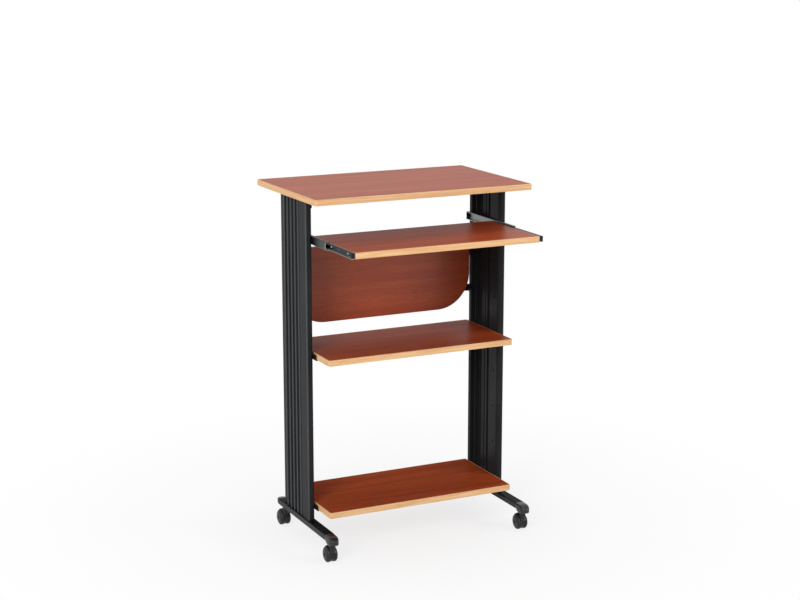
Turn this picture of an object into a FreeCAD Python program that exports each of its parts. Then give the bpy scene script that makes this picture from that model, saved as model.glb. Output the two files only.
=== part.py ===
import FreeCAD, Part
import math
import os
import Sketcher

# A mobile stand-up workstation: a worktop on two fluted uprights with T-feet and casters, a keyboard
# shelf on ball slides, a modesty panel and two shelves bolted to the uprights' hole rows.
# X runs to the right, Y to the back and Z up, in millimetres. The origin lies on the floor, below the
# middle of the whole outline with the keyboard shelf pulled out as it is drawn.

# Driving sizes. Names that end in front, back or rear are distances from the uprights' middle plane.
SIZES = {
    # boards and their edge bands
    "total_height": 1143.0,
    "board_thickness": 19.0,
    "band_thickness": 2.5,
    "band_edge_radius": 1.2,
    "worktop_width": 749.0,
    "worktop_front": 234.5,
    "worktop_back": 243.0,
    "worktop_corner_radius": 7.0,
    "shelf_front": 211.0,
    "shelf_back": 103.5,
    "shelf_gap": 5.8,
    "shelf_rise": 2.6,
    "shelf_corner_radius": 7.0,
    "keyboard_depth": 314.0,
    "keyboard_pull": 178.0,
    "keyboard_spare_travel": 50.0,
    # modesty panel
    "panel_height": 250.0,
    "panel_thickness": 16.0,
    "panel_corner_radius": 118.0,
    "panel_edge_radius": 1.2,
    # uprights
    "frame_width": 706.6,
    "column_thickness": 23.5,
    "column_depth": 206.8,
    "post_wall": 1.8,
    "front_corner_radius": 6.5,
    "nose_radius": 10.0,
    "front_face_length": 52.0,
    "front_land_reach": 8.0,
    "rear_land": 20.0,
    "post_flange": 2.0,
    "front_flange_reach": 36.4,
    "rear_flange_reach": 25.0,
    "front_lip": 9.4,
    "rear_lip": 12.4,
    "flute_sheet": 1.6,
    "bead_radius": 5.0,
    "bead_count": 5,
    "bead_spacing": 28.0,
    "first_bead": 33.0,
    # hole rows in the uprights
    "hole_radius": 3.5,
    "hole_rows": 8,
    "first_hole_height": 130.9,
    "keyboard_drop": 129.3,
    "front_hole_inset": 27.4,
    "rear_hole_inset": 12.4,
    # brackets
    "bracket_sheet": 2.5,
    "shelf_bracket_reach": 40.0,
    "shelf_bracket_rise": 16.5,
    "shelf_bracket_front": 118.0,
    "shelf_bracket_rear": 98.0,
    "top_bracket_reach": 35.0,
    "top_bracket_drop": 30.0,
    "top_bolt_drop": 18.0,
    "top_bracket_inset": 6.0,
    "panel_bracket_reach": 36.0,
    "panel_bracket_grip": 25.0,
    "panel_bracket_height": 24.0,
    # slides of the keyboard shelf
    "slide_length": 307.0,
    "slide_setback": 2.0,
    "slide_height": 27.0,
    "slide_width": 14.0,
    "slide_wall": 1.2,
    "slide_lip_gap": 3.0,
    "inner_shortfall": 1.0,
    "ball_radius": 1.2,
    "ball_gap": 0.3,
    "ball_count": 5,
    "ball_spacing": 15.0,
    "retainer_sheet": 0.8,
    "retainer_width": 6.0,
    "retainer_margin": 5.0,
    "ball_play": 0.1,
    "stop_thickness": 4.0,
    "plug_length": 8.0,
    "plug_clear": 1.0,
    "window_radius": 3.2,
    "window_inset": 24.0,
    "window_spacing": 62.0,
    # feet
    "floor_gap": 69.0,
    "foot_width": 34.0,
    "foot_height": 20.0,
    "foot_wall": 2.0,
    "foot_radius": 5.0,
    "foot_front": 290.0,
    "foot_rear": 165.0,
    "front_cap_length": 50.0,
    "rear_cap_length": 25.0,
    "nose_droop": 11.0,
    "nose_slope_length": 18.0,
    "nose_round_length": 24.0,
    "nose_round_drop": 13.0,
    "nose_toe_radius": 7.0,
    "nose_edge_radius": 4.0,
    "front_spigot": 40.0,
    "rear_spigot": 36.0,
    "base_plate_thickness": 6.0,
    "front_plate_length": 28.0,
    # casters
    "caster_front": 262.0,
    "caster_rear": 120.0,
    "caster_trail": 16.0,
    "wheel_radius": 25.0,
    "wheel_width": 13.0,
    "wheel_spacing": 13.0,
    "wheel_shoulder": 4.0,
    "wheel_inner_edge": 1.5,
    "wheel_hub_radius": 8.0,
    "wheel_rim_radius": 19.0,
    "wheel_dish": 2.0,
    "axle_radius": 3.0,
    "axle_cover_radius": 4.2,
    "axle_cover_depth": 4.0,
    "wheel_play": 0.06,
    "hood_gap": 1.5,
    "hood_wall": 2.2,
    "hood_inset": 8.5,
    "hood_web_gap": 1.0,
    "hood_front_rise": 10.0,
    "hood_rear_drop": 3.0,
    "hood_hub_radius": 7.0,
    "hood_edge_radius": 1.0,
    "boss_radius": 9.5,
    "swivel_gap": 0.3,
    "stem_radius": 4.0,
    "stem_play": 0.06,
    "stem_seat_height": 10.0,
    "stem_top_gap": 4.0,
    # fasteners
    "bolt_radius": 3.0,
    "bolt_length": 14.0,
    "bolt_head_radius": 5.2,
    "bolt_head_height": 2.4,
    "bolt_socket_radius": 2.3,
    "bolt_socket_depth": 1.4,
    "foot_bolt_head_height": 3.5,
    "screw_radius": 1.9,
    "screw_length": 14.0,
    "screw_head_radius": 3.9,
    "screw_head_height": 1.6,
    "screw_hole_play": 0.5,
    "screw_edge": 24.0,
    # fits and cuts
    "fit": 0.05,
    "overrun": 5.0,
}


class Size:
    """A number and the sheet expression that gives it."""

    def __init__(self, value, text):
        self.value = value
        self.text = text

    def __add__(self, other):
        other = as_size(other)
        return Size(self.value + other.value, f"({self.text} + {other.text})")

    def __sub__(self, other):
        other = as_size(other)
        return Size(self.value - other.value, f"({self.text} - {other.text})")

    def __mul__(self, other):
        other = as_size(other)
        return Size(self.value * other.value, f"({self.text} * {other.text})")

    def __truediv__(self, other):
        other = as_size(other)
        return Size(self.value / other.value, f"({self.text} / {other.text})")

    def __neg__(self):
        return self * -1

    __radd__ = __add__
    __rmul__ = __mul__


class Sheet:
    """The driving sizes by name, each bound to its cell."""

    def __getattr__(self, alias):
        return Size(SIZES[alias], "Sizes." + alias)


def as_size(number):
    return number if isinstance(number, Size) else Size(float(number), str(number))


def root(size):
    return Size(math.sqrt(size.value), f"sqrt({size.text})")


def count(size):
    return range(int(size.value))


# The document and its sheet

doc = FreeCAD.newDocument("standing_workstation")
cells = doc.addObject("Spreadsheet::Sheet", "Sizes")
for row, (alias, number) in enumerate(SIZES.items(), start=1):
    cells.set(f"A{row}", alias)
    cells.set(f"B{row}", str(number))
    cells.setAlias(f"B{row}", alias)
doc.recompute()

s = Sheet()
sub_parts = []
SIDES = {"left": -1, "right": 1}

# Places that several pieces share

column_y = (s.shelf_front + s.keyboard_pull - s.worktop_back) / 2
outer_x = s.frame_width / 2
inner_x = outer_x - s.column_thickness
column_x = outer_x - s.column_thickness / 2
column_front = -s.column_depth / 2
column_rear = s.column_depth / 2
worktop_bottom = s.total_height - s.board_thickness
foot_top = s.floor_gap + s.foot_height
front_hole_y = column_front + s.front_hole_inset
rear_hole_y = column_rear - s.rear_hole_inset
shelf_half = inner_x - s.shelf_gap
keyboard_half = inner_x - s.slide_width
keyboard_front = s.shelf_front + s.keyboard_pull
keyboard_back = s.keyboard_depth - keyboard_front
screw_hole_radius = s.screw_radius + s.screw_hole_play
last_hole_height = worktop_bottom - s.keyboard_drop
hole_spacing = (last_hole_height - s.first_hole_height) / (s.hole_rows - 1)

BOTTOM_ROW, MIDDLE_ROW, PANEL_ROWS, SLIDE_ROW = 0, 4, (5, 6), 7


def hole_height(row):
    return s.first_hole_height + hole_spacing * row


def shelf_bottom(row):
    return hole_height(row) + s.shelf_rise - s.board_thickness / 2


# Helpers: placing, sketching and features


def place(item, x, y, z):
    for axis, size in zip("xyz", (x, y, z)):
        item.setExpression("Placement.Base." + axis, as_size(size).text)


def keep(item, label):
    """Name a finished sub-part, whose label names its file."""
    item.Label = label
    sub_parts.append(item)
    return item


def new_body(name, x, y, z):
    body = doc.addObject("PartDesign::Body", name)
    place(body, x, y, z)
    return body


def origin_feature(body, role):
    return next(item for item in body.Origin.OriginFeatures if item.Role == role)


def is_zero(size):
    return size.value == 0 and "Sizes" not in size.text


def fix_coordinate(sketch, kind, element, point, size):
    """Hold one coordinate of a sketch point at a size."""
    if is_zero(size):
        axis = -2 if kind == "DistanceX" else -1
        sketch.addConstraint(Sketcher.Constraint("PointOnObject", element, point, axis))
        return
    index = sketch.addConstraint(Sketcher.Constraint(kind, -1, 1, element, point, size.value))
    sketch.setExpression(f"Constraints[{index}]", size.text)


def fix_point(sketch, element, point, x, y):
    fix_coordinate(sketch, "DistanceX", element, point, x)
    fix_coordinate(sketch, "DistanceY", element, point, y)


def flat(x, y):
    return FreeCAD.Vector(x.value, y.value, 0)


def arc_between(start, end, centre, turn):
    """The arc about centre from start to end, anticlockwise if turn is 1, clockwise if -1."""
    first, last = (start, end) if turn > 0 else (end, start)
    circle = Part.Circle(centre, FreeCAD.Vector(0, 0, 1), (first - centre).Length)
    return Part.ArcOfCircle(circle, circle.parameter(first), circle.parameter(last))


def draw_outline(sketch, steps):
    """Draw a closed outline. A step is a corner (x, y) or an arc's end (x, y, centre x, centre y, turn)."""
    steps = [tuple(as_size(number) for number in step[:4]) + step[4:] for step in steps]
    first = sketch.GeometryCount
    ends = []
    for before, step in zip(steps[-1:] + steps[:-1], steps):
        start, end = flat(*before[:2]), flat(*step[:2])
        if len(step) == 2:
            sketch.addGeometry(Part.LineSegment(start, end))
            ends.append((1, 2))
            continue
        sketch.addGeometry(arc_between(start, end, flat(*step[2:4]), step[4]))
        ends.append((1, 2) if step[4] > 0 else (2, 1))
    total = len(steps)
    for index, step in enumerate(steps):
        element, after = first + index, first + (index + 1) % total
        joint = (element, ends[index][1], after, ends[(index + 1) % total][0])
        sketch.addConstraint(Sketcher.Constraint("Coincident", *joint))
        fix_point(sketch, element, ends[index][1], step[0], step[1])
    for index, step in enumerate(steps):
        if len(step) > 2:
            before = steps[index - 1]
            across = abs(step[0].value - before[0].value) > abs(step[1].value - before[1].value)
            kind, size = ("DistanceY", step[3]) if across else ("DistanceX", step[2])
            fix_coordinate(sketch, kind, first + index, 3, size)


def draw_circle(sketch, x, y, radius):
    x, y = as_size(x), as_size(y)
    element = sketch.addGeometry(Part.Circle(flat(x, y), FreeCAD.Vector(0, 0, 1), radius.value))
    fix_point(sketch, element, 3, x, y)
    index = sketch.addConstraint(Sketcher.Constraint("Radius", element, radius.value))
    sketch.setExpression(f"Constraints[{index}]", radius.text)


def new_sketch(body, plane, outlines=(), circles=(), lift=None):
    """A sketch on one of the body's origin planes, lifted along that plane's normal."""
    sketch = body.newObject("Sketcher::SketchObject", body.Name + "_sketch")
    sketch.AttachmentSupport = (origin_feature(body, plane + "_Plane"), [""])
    sketch.MapMode = "FlatFace"
    if lift is not None:
        sketch.setExpression("AttachmentOffset.Base.z", lift.text)
    for steps in outlines:
        draw_outline(sketch, steps)
    for circle in circles:
        draw_circle(sketch, *circle)
    return sketch


def pad(body, sketch, length, symmetric=False, reverse=False):
    feature = body.newObject("PartDesign::Pad", body.Name + "_pad")
    feature.Profile = sketch
    feature.setExpression("Length", length.text)
    feature.SideType = "Symmetric" if symmetric else "One side"
    feature.Reversed = reverse
    doc.recompute()
    return feature


def pocket(body, sketch, depth=None, reverse=False):
    """Cut the sketch out of the body, to a depth or right through both ways."""
    before = body.Shape.Volume
    feature = body.newObject("PartDesign::Pocket", body.Name + "_pocket")
    feature.Profile = sketch
    if depth is None:
        feature.Type = "ThroughAll"
        feature.SideType = "Symmetric"
    else:
        feature.setExpression("Length", depth.text)
        feature.Reversed = reverse
    doc.recompute()
    if body.Shape.Volume >= before:
        raise RuntimeError(f"a pocket of {body.Name} cuts nothing")
    return feature


def fillet(body, radius, wanted):
    """Round the edges of the body's last feature that pass the test."""
    base = body.Tip
    edges = [f"Edge{n}" for n, edge in enumerate(base.Shape.Edges, start=1) if wanted(edge)]
    feature = body.newObject("PartDesign::Fillet", body.Name + "_fillet")
    feature.Base = (base, edges)
    feature.setExpression("Radius", radius.text)
    doc.recompute()
    return feature


def same(number, size):
    return math.isclose(number, size.value, abs_tol=Part.Precision.approximation())


def along_front(edge, front):
    """True for an edge that runs along the line y = front at one height."""
    box = edge.BoundBox
    return same(box.YMin, front) and same(box.YMax, front) and same(box.ZLength, as_size(0))


def box(name, low, lengths):
    item = doc.addObject("Part::Box", name)
    for axis, size in zip(("Length", "Width", "Height"), lengths):
        item.setExpression(axis, size.text)
    place(item, *low)
    return item


TURNS = {
    "X": FreeCAD.Rotation(FreeCAD.Vector(0, 1, 0), 90),
    "Y": FreeCAD.Rotation(FreeCAD.Vector(1, 0, 0), -90),
    "Z": FreeCAD.Rotation(),
}


def cylinder(name, radius, length, low, axis):
    """A cylinder that runs from its low end along an axis."""
    item = doc.addObject("Part::Cylinder", name)
    item.setExpression("Radius", radius.text)
    item.setExpression("Height", length.text)
    item.Placement = FreeCAD.Placement(FreeCAD.Vector(), TURNS[axis])
    place(item, *low)
    return item


def hexagon(name, radius, length, low, axis):
    item = doc.addObject("Part::Prism", name)
    item.Polygon = 6
    item.setExpression("Circumradius", radius.text)
    item.setExpression("Height", length.text)
    item.Placement = FreeCAD.Placement(FreeCAD.Vector(), TURNS[axis])
    place(item, *low)
    return item


def fuse(name, items):
    item = doc.addObject("Part::MultiFuse", name)
    item.Shapes = items
    return item


def cut(name, base, tool):
    item = doc.addObject("Part::Cut", name)
    item.Base = base
    item.Tool = tool
    return item


def group(label, items):
    """Like pieces that share one node, as separate solids."""
    item = doc.addObject("Part::Compound", label)
    item.Links = items
    return keep(item, label)


def low_x(side, near, far):
    """The lower x of a piece that lies between two distances from the middle plane."""
    return near if side > 0 else -far


def round_box(x0, y0, x1, y1, radius):
    return [
        (x1 - radius, y0),
        (x1, y0 + radius, x1 - radius, y0 + radius, 1),
        (x1, y1 - radius),
        (x1 - radius, y1, x1 - radius, y1 - radius, 1),
        (x0 + radius, y1),
        (x0, y1 - radius, x0 + radius, y1 - radius, 1),
        (x0, y0 + radius),
        (x0 + radius, y0, x0 + radius, y0 + radius, 1),
    ]


def mirrored(side, steps):
    """An outline drawn for the right side, turned to the side given."""
    if side > 0:
        return steps
    return [(-x, y) if not arc else (-x, y, -arc[0], arc[1], -arc[2]) for x, y, *arc in steps]


# Boards and bands


def board_and_band(name, half_width, front, back, radius, bottom):
    """A board with laminate faces, and the band round its edge, both still open to further cuts."""
    band = s.band_thickness
    outer = round_box(-half_width, -front, half_width, back, radius)
    inner = round_box(-half_width + band, band - front, half_width - band, back - band, radius - band)
    board = new_body(name + "_board", 0, column_y, bottom)
    pad(board, new_sketch(board, "XY", [inner]), s.board_thickness)
    edging = new_body(name + "_edge_band", 0, column_y, bottom)
    pad(edging, new_sketch(edging, "XY", [outer, inner]), s.board_thickness)
    fillet(edging, s.band_edge_radius, lambda edge: along_front(edge, -front))
    keep(board, name + "_board")
    keep(edging, name + "_edge_band")
    return board, edging


def pilot_holes_below(board, places):
    """Blind screw holes in the underside of a board."""
    circles = [(x, y, s.screw_radius + s.fit) for x, y in places]
    pocket(board, new_sketch(board, "XY", circles=circles), s.screw_length, reverse=True)


def screw_rows(reach, rows):
    """Screw places along both brackets of a board, in plan."""
    x = inner_x - reach + s.screw_edge / 2
    return [(side * x, y) for side in SIDES.values() for y in rows]


def spread(first, last):
    """Three places from first to last."""
    return [first, (first + last) / 2, last]


top_screw_inset = s.top_bracket_inset + s.screw_edge
top_screws = screw_rows(
    s.top_bracket_reach,
    spread(column_front + top_screw_inset, column_rear - top_screw_inset),
)
shelf_screws = screw_rows(
    s.shelf_bracket_reach,
    spread(s.screw_edge - s.shelf_bracket_front, s.shelf_bracket_rear - s.screw_edge),
)
slide_screw_rows = spread(s.screw_edge * 2 - keyboard_front, keyboard_back - s.screw_edge)


def make_worktop():
    half = s.worktop_width / 2
    radius = s.worktop_corner_radius
    board, _ = board_and_band("worktop", half, s.worktop_front, s.worktop_back, radius, worktop_bottom)
    pilot_holes_below(board, top_screws)


def make_shelf(name, row):
    radius = s.shelf_corner_radius
    bottom = shelf_bottom(row)
    board, _ = board_and_band(name, shelf_half, s.shelf_front, s.shelf_back, radius, bottom)
    pilot_holes_below(board, shelf_screws)


def make_keyboard_shelf():
    bottom = hole_height(SLIDE_ROW) - s.board_thickness / 2
    radius = s.shelf_corner_radius
    pieces = board_and_band("keyboard_shelf", keyboard_half, keyboard_front, keyboard_back, radius, bottom)
    circles = [(y, s.board_thickness / 2, s.screw_radius + s.fit) for y in slide_screw_rows]
    for piece in pieces:
        for side in SIDES.values():
            sketch = new_sketch(piece, "YZ", circles=circles, lift=keyboard_half * side)
            pocket(piece, sketch, s.screw_length, reverse=side < 0)


# Modesty panel and its brackets

panel_bottom = (hole_height(PANEL_ROWS[0]) + hole_height(PANEL_ROWS[1]) - s.panel_height) / 2
panel_screw_x = inner_x - s.panel_bracket_reach + s.screw_edge / 2


def panel_screw_places():
    """Screw places in the panel's back: x, and height above its lower edge."""
    reach = s.panel_bracket_height / 4
    heights = [hole_height(row) - panel_bottom + reach * step for row in PANEL_ROWS for step in (-1, 1)]
    return [(side * panel_screw_x, z) for side in SIDES.values() for z in heights]


def make_modesty_panel():
    half, top, radius = shelf_half, s.panel_height, s.panel_corner_radius
    outline = [
        (-half, radius),
        (radius - half, 0, radius - half, radius, 1),
        (half - radius, 0),
        (half, radius, half - radius, radius, 1),
        (half, top),
        (-half, top),
    ]
    body = new_body("modesty_panel", 0, column_y + column_rear, panel_bottom)
    pad(body, new_sketch(body, "XZ", [outline]), s.panel_thickness)

    def on_front_face(edge):
        return same(edge.BoundBox.YMin, -s.panel_thickness) and same(edge.BoundBox.YMax, -s.panel_thickness)

    fillet(body, s.panel_edge_radius, on_front_face)
    circles = [(x, z, s.screw_radius + s.fit) for x, z in panel_screw_places()]
    pocket(body, new_sketch(body, "XZ", circles=circles), s.screw_length, reverse=True)
    keep(body, "modesty_panel")


def make_modesty_brackets():
    sheet, reach, rear = s.bracket_sheet, s.panel_bracket_reach, column_rear
    outline = [
        (inner_x, rear + sheet),
        (inner_x, rear - s.panel_bracket_grip),
        (inner_x - sheet, rear - s.panel_bracket_grip),
        (inner_x - sheet, rear),
        (inner_x - reach, rear),
        (inner_x - reach, rear + sheet),
    ]
    brackets = []
    for name, side in SIDES.items():
        for row in PANEL_ROWS:
            bottom = hole_height(row) - s.panel_bracket_height / 2
            body = new_body(f"{name}_panel_bracket_{row}", 0, column_y, bottom)
            pad(body, new_sketch(body, "XY", [mirrored(side, outline)]), s.panel_bracket_height)
            middle = s.panel_bracket_height / 2
            pocket(body, new_sketch(body, "YZ", circles=[(rear_hole_y, middle, s.hole_radius)]))
            heights = (middle / 2, middle + middle / 2)
            circles = [(side * panel_screw_x, z, screw_hole_radius) for z in heights]
            pocket(body, new_sketch(body, "XZ", circles=circles))
            brackets.append(body)
    group("modesty_brackets", brackets)


# Uprights: a front post, a rear post and a fluted sheet between them. Depth is measured from the
# outer face inwards.

ground = s.bead_radius + s.flute_sheet
shoulder_y = column_front + s.front_face_length
front_land_y = shoulder_y + s.front_land_reach
rear_land_y = column_rear - s.rear_land
front_flange_y = shoulder_y + s.front_flange_reach
rear_flange_y = rear_land_y - s.rear_flange_reach


def in_depth(side, steps):
    """An outline in depth and y, turned to the side given."""
    placed = [(outer_x - d, y) if not arc else (outer_x - d, y, outer_x - arc[0], arc[1], -arc[2])
              for d, y, *arc in steps]
    return mirrored(side, placed)


def post_holes(body, side, y):
    """The rows of holes through the inner wall of a post, and the worktop bracket's hole."""
    depth = s.post_wall + s.overrun
    first = [(y, hole_height(BOTTOM_ROW) - foot_top, s.hole_radius)]
    sketch = new_sketch(body, "YZ", circles=first, lift=inner_x * side)
    row = pocket(body, sketch, depth, reverse=side > 0)
    pattern = body.newObject("PartDesign::LinearPattern", body.Name + "_hole_rows")
    pattern.Originals = [row]
    pattern.Direction = (origin_feature(body, "Z_Axis"), [""])
    pattern.setExpression("Length", (last_hole_height - s.first_hole_height).text)
    pattern.setExpression("Occurrences", s.hole_rows.text)
    body.Tip = pattern
    doc.recompute()
    top = [(y, worktop_bottom - s.top_bolt_drop - foot_top, s.hole_radius)]
    pocket(body, new_sketch(body, "YZ", circles=top, lift=inner_x * side), depth, reverse=side > 0)


def make_front_post(name, side):
    deep, wall, front = s.column_thickness, s.post_wall, column_front
    corner, nose, bead = s.front_corner_radius, s.nose_radius, s.bead_radius
    flange = ground + s.post_flange
    outline = [
        (0, shoulder_y - bead, bead, shoulder_y - bead, 1),
        (0, front + corner),
        (corner, front, corner, front + corner, 1),
        (deep - nose, front),
        (deep, front + nose, deep - nose, front + nose, 1),
        (deep, front_land_y),
        (flange, front_land_y),
        (flange, front_flange_y - s.post_flange),
        (ground + s.front_lip, front_flange_y - s.post_flange),
        (ground + s.front_lip, front_flange_y),
        (ground, front_flange_y),
        (ground, shoulder_y),
        (bead, shoulder_y),
    ]
    hollow = [
        (wall, shoulder_y - bead, bead, shoulder_y - bead, 1),
        (wall, front + corner),
        (corner, front + wall, corner, front + corner, 1),
        (deep - nose, front + wall),
        (deep - wall, front + nose, deep - nose, front + nose, 1),
        (deep - wall, front_land_y - wall),
        (flange, front_land_y - wall),
        (flange, shoulder_y - wall),
        (bead, shoulder_y - wall),
    ]
    body = new_body(name + "_front_post", 0, column_y, foot_top)
    section = new_sketch(body, "XY", [in_depth(side, outline), in_depth(side, hollow)])
    pad(body, section, worktop_bottom - foot_top)
    post_holes(body, side, front_hole_y)
    keep(body, name + "_front_post")


def make_rear_post(name, side):
    deep, wall, rear, corner = s.column_thickness, s.post_wall, column_rear, s.front_corner_radius
    flange = ground + s.post_flange
    outline = [
        (ground, rear_flange_y),
        (ground + s.rear_lip, rear_flange_y),
        (ground + s.rear_lip, rear_flange_y + s.post_flange),
        (flange, rear_flange_y + s.post_flange),
        (flange, rear_land_y),
        (deep, rear_land_y),
        (deep, rear - corner),
        (deep - corner, rear, deep - corner, rear - corner, 1),
        (ground, rear),
    ]
    hollow = [
        (ground + wall, rear_land_y + wall),
        (deep - wall, rear_land_y + wall),
        (deep - wall, rear - corner),
        (deep - corner, rear - wall, deep - corner, rear - corner, 1),
        (ground + wall, rear - wall),
    ]
    body = new_body(name + "_rear_post", 0, column_y, foot_top)
    section = new_sketch(body, "XY", [in_depth(side, outline), in_depth(side, hollow)])
    pad(body, section, worktop_bottom - foot_top)
    post_holes(body, side, rear_hole_y)
    keep(body, name + "_rear_post")


def make_fluted_panel(name, side):
    """A formed sheet with half-round beads, closed on the outside of the two posts."""
    bead, hollow = s.bead_radius, s.bead_radius - s.flute_sheet
    middles = [column_rear - s.first_bead - s.bead_spacing * n for n in count(s.bead_count)]
    outline = [(bead, column_rear)]
    for y in middles:
        outline += [(bead, y + bead), (bead, y - bead, bead, y, 1)]
    outline += [(bead, shoulder_y), (ground, shoulder_y)]
    for y in reversed(middles):
        outline += [(ground, y - hollow), (bead, y - hollow)]
        outline += [(bead, y + hollow, bead, y, -1), (ground, y + hollow)]
    outline += [(ground, column_rear)]
    body = new_body(name + "_fluted_panel", 0, column_y, foot_top)
    pad(body, new_sketch(body, "XY", [in_depth(side, outline)]), worktop_bottom - foot_top)
    keep(body, name + "_fluted_panel")


# Brackets under the worktop and the shelves


def bracket(name, side, outline, bottom, rear, length, bolt_z, screws):
    """A bent bracket: its profile runs from the rear to the front, with bolt and screw holes."""
    body = new_body(name, 0, column_y, bottom)
    pad(body, new_sketch(body, "XZ", [mirrored(side, outline)], lift=-rear), length)
    bolts = [(y, bolt_z, s.hole_radius) for y in (front_hole_y, rear_hole_y)]
    pocket(body, new_sketch(body, "YZ", circles=bolts))
    holes = [(x, y, screw_hole_radius) for x, y in screws if x.value * side > 0]
    pocket(body, new_sketch(body, "XY", circles=holes))
    return body


def make_worktop_brackets():
    sheet, reach, drop = s.bracket_sheet, s.top_bracket_reach, s.top_bracket_drop
    outline = [
        (inner_x, 0),
        (inner_x, -drop),
        (inner_x - sheet, -drop),
        (inner_x - sheet, -sheet),
        (inner_x - reach, -sheet),
        (inner_x - reach, 0),
    ]
    rear = column_rear - s.top_bracket_inset
    length = s.column_depth - s.top_bracket_inset * 2
    bottom, bolt_z = worktop_bottom, -s.top_bolt_drop
    group("worktop_brackets", [
        bracket(f"{name}_worktop_bracket", side, outline, bottom, rear, length, bolt_z, top_screws)
        for name, side in SIDES.items()
    ])


def make_shelf_brackets(shelf, row):
    sheet, reach, rise = s.bracket_sheet, s.shelf_bracket_reach, s.shelf_bracket_rise
    outline = [
        (inner_x, -sheet),
        (inner_x, rise),
        (inner_x - sheet, rise),
        (inner_x - sheet, 0),
        (inner_x - reach, 0),
        (inner_x - reach, -sheet),
    ]
    rear = s.shelf_bracket_rear
    length = s.shelf_bracket_front + s.shelf_bracket_rear
    bottom = shelf_bottom(row)
    bolt_z = hole_height(row) - bottom
    group(shelf + "_brackets", [
        bracket(f"{name}_{shelf}_bracket", side, outline, bottom, rear, length, bolt_z, shelf_screws)
        for name, side in SIDES.items()
    ])


# Slides of the keyboard shelf. Reach is measured from the upright's inner face towards the shelf.

slide_front = s.slide_setback - s.shelf_front
slide_rear = slide_front + s.slide_length
half_slide = s.slide_height / 2
half_inner = half_slide - s.slide_wall - (s.ball_gap + s.ball_radius) * 2
outer_reach = s.slide_width - s.slide_lip_gap
ball_height = half_inner + s.ball_gap + s.ball_radius
ball_reach = s.slide_width / 2
slide_z = hole_height(SLIDE_ROW)
inner_front = s.slide_setback - keyboard_front
inner_length = s.slide_length - s.inner_shortfall
retainer_length = s.ball_spacing * (s.ball_count - 1) + s.retainer_margin * 2
retainer_front = slide_front + s.slide_setback + s.keyboard_spare_travel / 2


def from_upright(side, steps):
    """An outline in reach and height, turned to the side given."""
    return mirrored(side, [(inner_x - reach, z) for reach, z in steps])


def make_outer_member(name, side):
    wall, reach, half = s.slide_wall, outer_reach, half_slide
    outline = [
        (0, -half), (reach, -half), (reach, wall - half), (wall, wall - half),
        (wall, half - wall), (reach, half - wall), (reach, half), (0, half),
    ]
    body = new_body(name + "_slide_outer_member", 0, column_y, slide_z)
    outline = from_upright(side, [(as_size(reach), z) for reach, z in outline])
    pad(body, new_sketch(body, "XZ", [outline], lift=-slide_rear), s.slide_length)
    bolts = [(y, 0, s.hole_radius) for y in (front_hole_y, rear_hole_y)]
    pocket(body, new_sketch(body, "YZ", circles=bolts))
    keep(body, name + "_slide_outer_member")


def make_inner_member(name, side):
    wall, tip, wide, half = s.slide_wall, s.slide_lip_gap, s.slide_width, half_inner
    outline = [
        (wide, -half), (wide, half), (tip, half), (tip, half - wall),
        (wide - wall, half - wall), (wide - wall, wall - half), (tip, wall - half), (tip, -half),
    ]
    body = new_body(name + "_slide_inner_member", 0, column_y, slide_z)
    sketch = new_sketch(body, "XZ", [from_upright(side, outline)], lift=-(inner_front + inner_length))
    pad(body, sketch, inner_length)
    holes = [(y, 0, screw_hole_radius) for y in slide_screw_rows]
    windows = [(inner_front + s.window_inset + s.window_spacing * n, 0, s.window_radius) for n in (0, 1)]
    pocket(body, new_sketch(body, "YZ", circles=holes + windows))
    keep(body, name + "_slide_inner_member")


def make_balls(name, side):
    """Two strips that space the balls above and below the inner member, and the balls."""
    x = (inner_x - ball_reach) * side
    strips, balls = [], []
    for level in (-1, 1):
        z = slide_z + ball_height * level
        low = (x - s.retainer_width / 2, column_y + retainer_front, z - s.retainer_sheet / 2)
        strip = box(f"{name}_strip", low, (s.retainer_width, retainer_length, s.retainer_sheet))
        seats = []
        for n in count(s.ball_count):
            y = column_y + retainer_front + s.retainer_margin + s.ball_spacing * n
            low = (x, y, z - s.retainer_sheet)
            seat_radius = s.ball_radius + s.ball_play
            seats.append(cylinder(f"{name}_seat", seat_radius, s.retainer_sheet * 2, low, "Z"))
            ball = doc.addObject("Part::Sphere", f"{name}_ball")
            ball.setExpression("Radius", s.ball_radius.text)
            place(ball, x, y, z)
            balls.append(ball)
        strips.append(cut(f"{name}_retainer", strip, fuse(f"{name}_seats", seats)))
    group(name + "_ball_retainers", strips)
    group(name + "_slide_balls", balls)


def make_slide_ends():
    """Plastic stops behind the outer members and plugs in the front of the inner members."""
    stops, plugs = [], []
    for name, side in SIDES.items():
        low = (low_x(side, inner_x - outer_reach, inner_x), column_y + slide_rear, slide_z - half_slide)
        stops.append(box(f"{name}_stop", low, (outer_reach, s.stop_thickness, s.slide_height)))
        half = half_inner - s.slide_wall
        wide = s.slide_width - s.slide_wall - s.slide_lip_gap - s.plug_clear
        near = inner_x - s.slide_width + s.slide_wall
        low = (low_x(side, near, near + wide), column_y + inner_front, slide_z - half)
        plugs.append(box(f"{name}_plug", low, (wide, s.plug_length, half * 2)))
    group("slide_rear_stops", stops)
    group("slide_front_plugs", plugs)


# Feet


def half_round(half, straight, end):
    """A plan outline with square corners at y = straight and a half round that reaches y = end."""
    turn = 1 if end.value > as_size(straight).value else -1
    middle = end - half * turn
    return [(-half * turn, straight), (half * turn, straight), (half * turn, middle),
            (-half * turn, middle, 0, middle, 1)]


def spigot_outline(bottom):
    """The section of a cap's spigot inside the foot tube."""
    gap = s.foot_wall + s.fit
    half = s.foot_width / 2 - gap
    return round_box(-half, bottom + gap, half, bottom + s.foot_height - gap, s.foot_radius - s.foot_wall)


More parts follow.
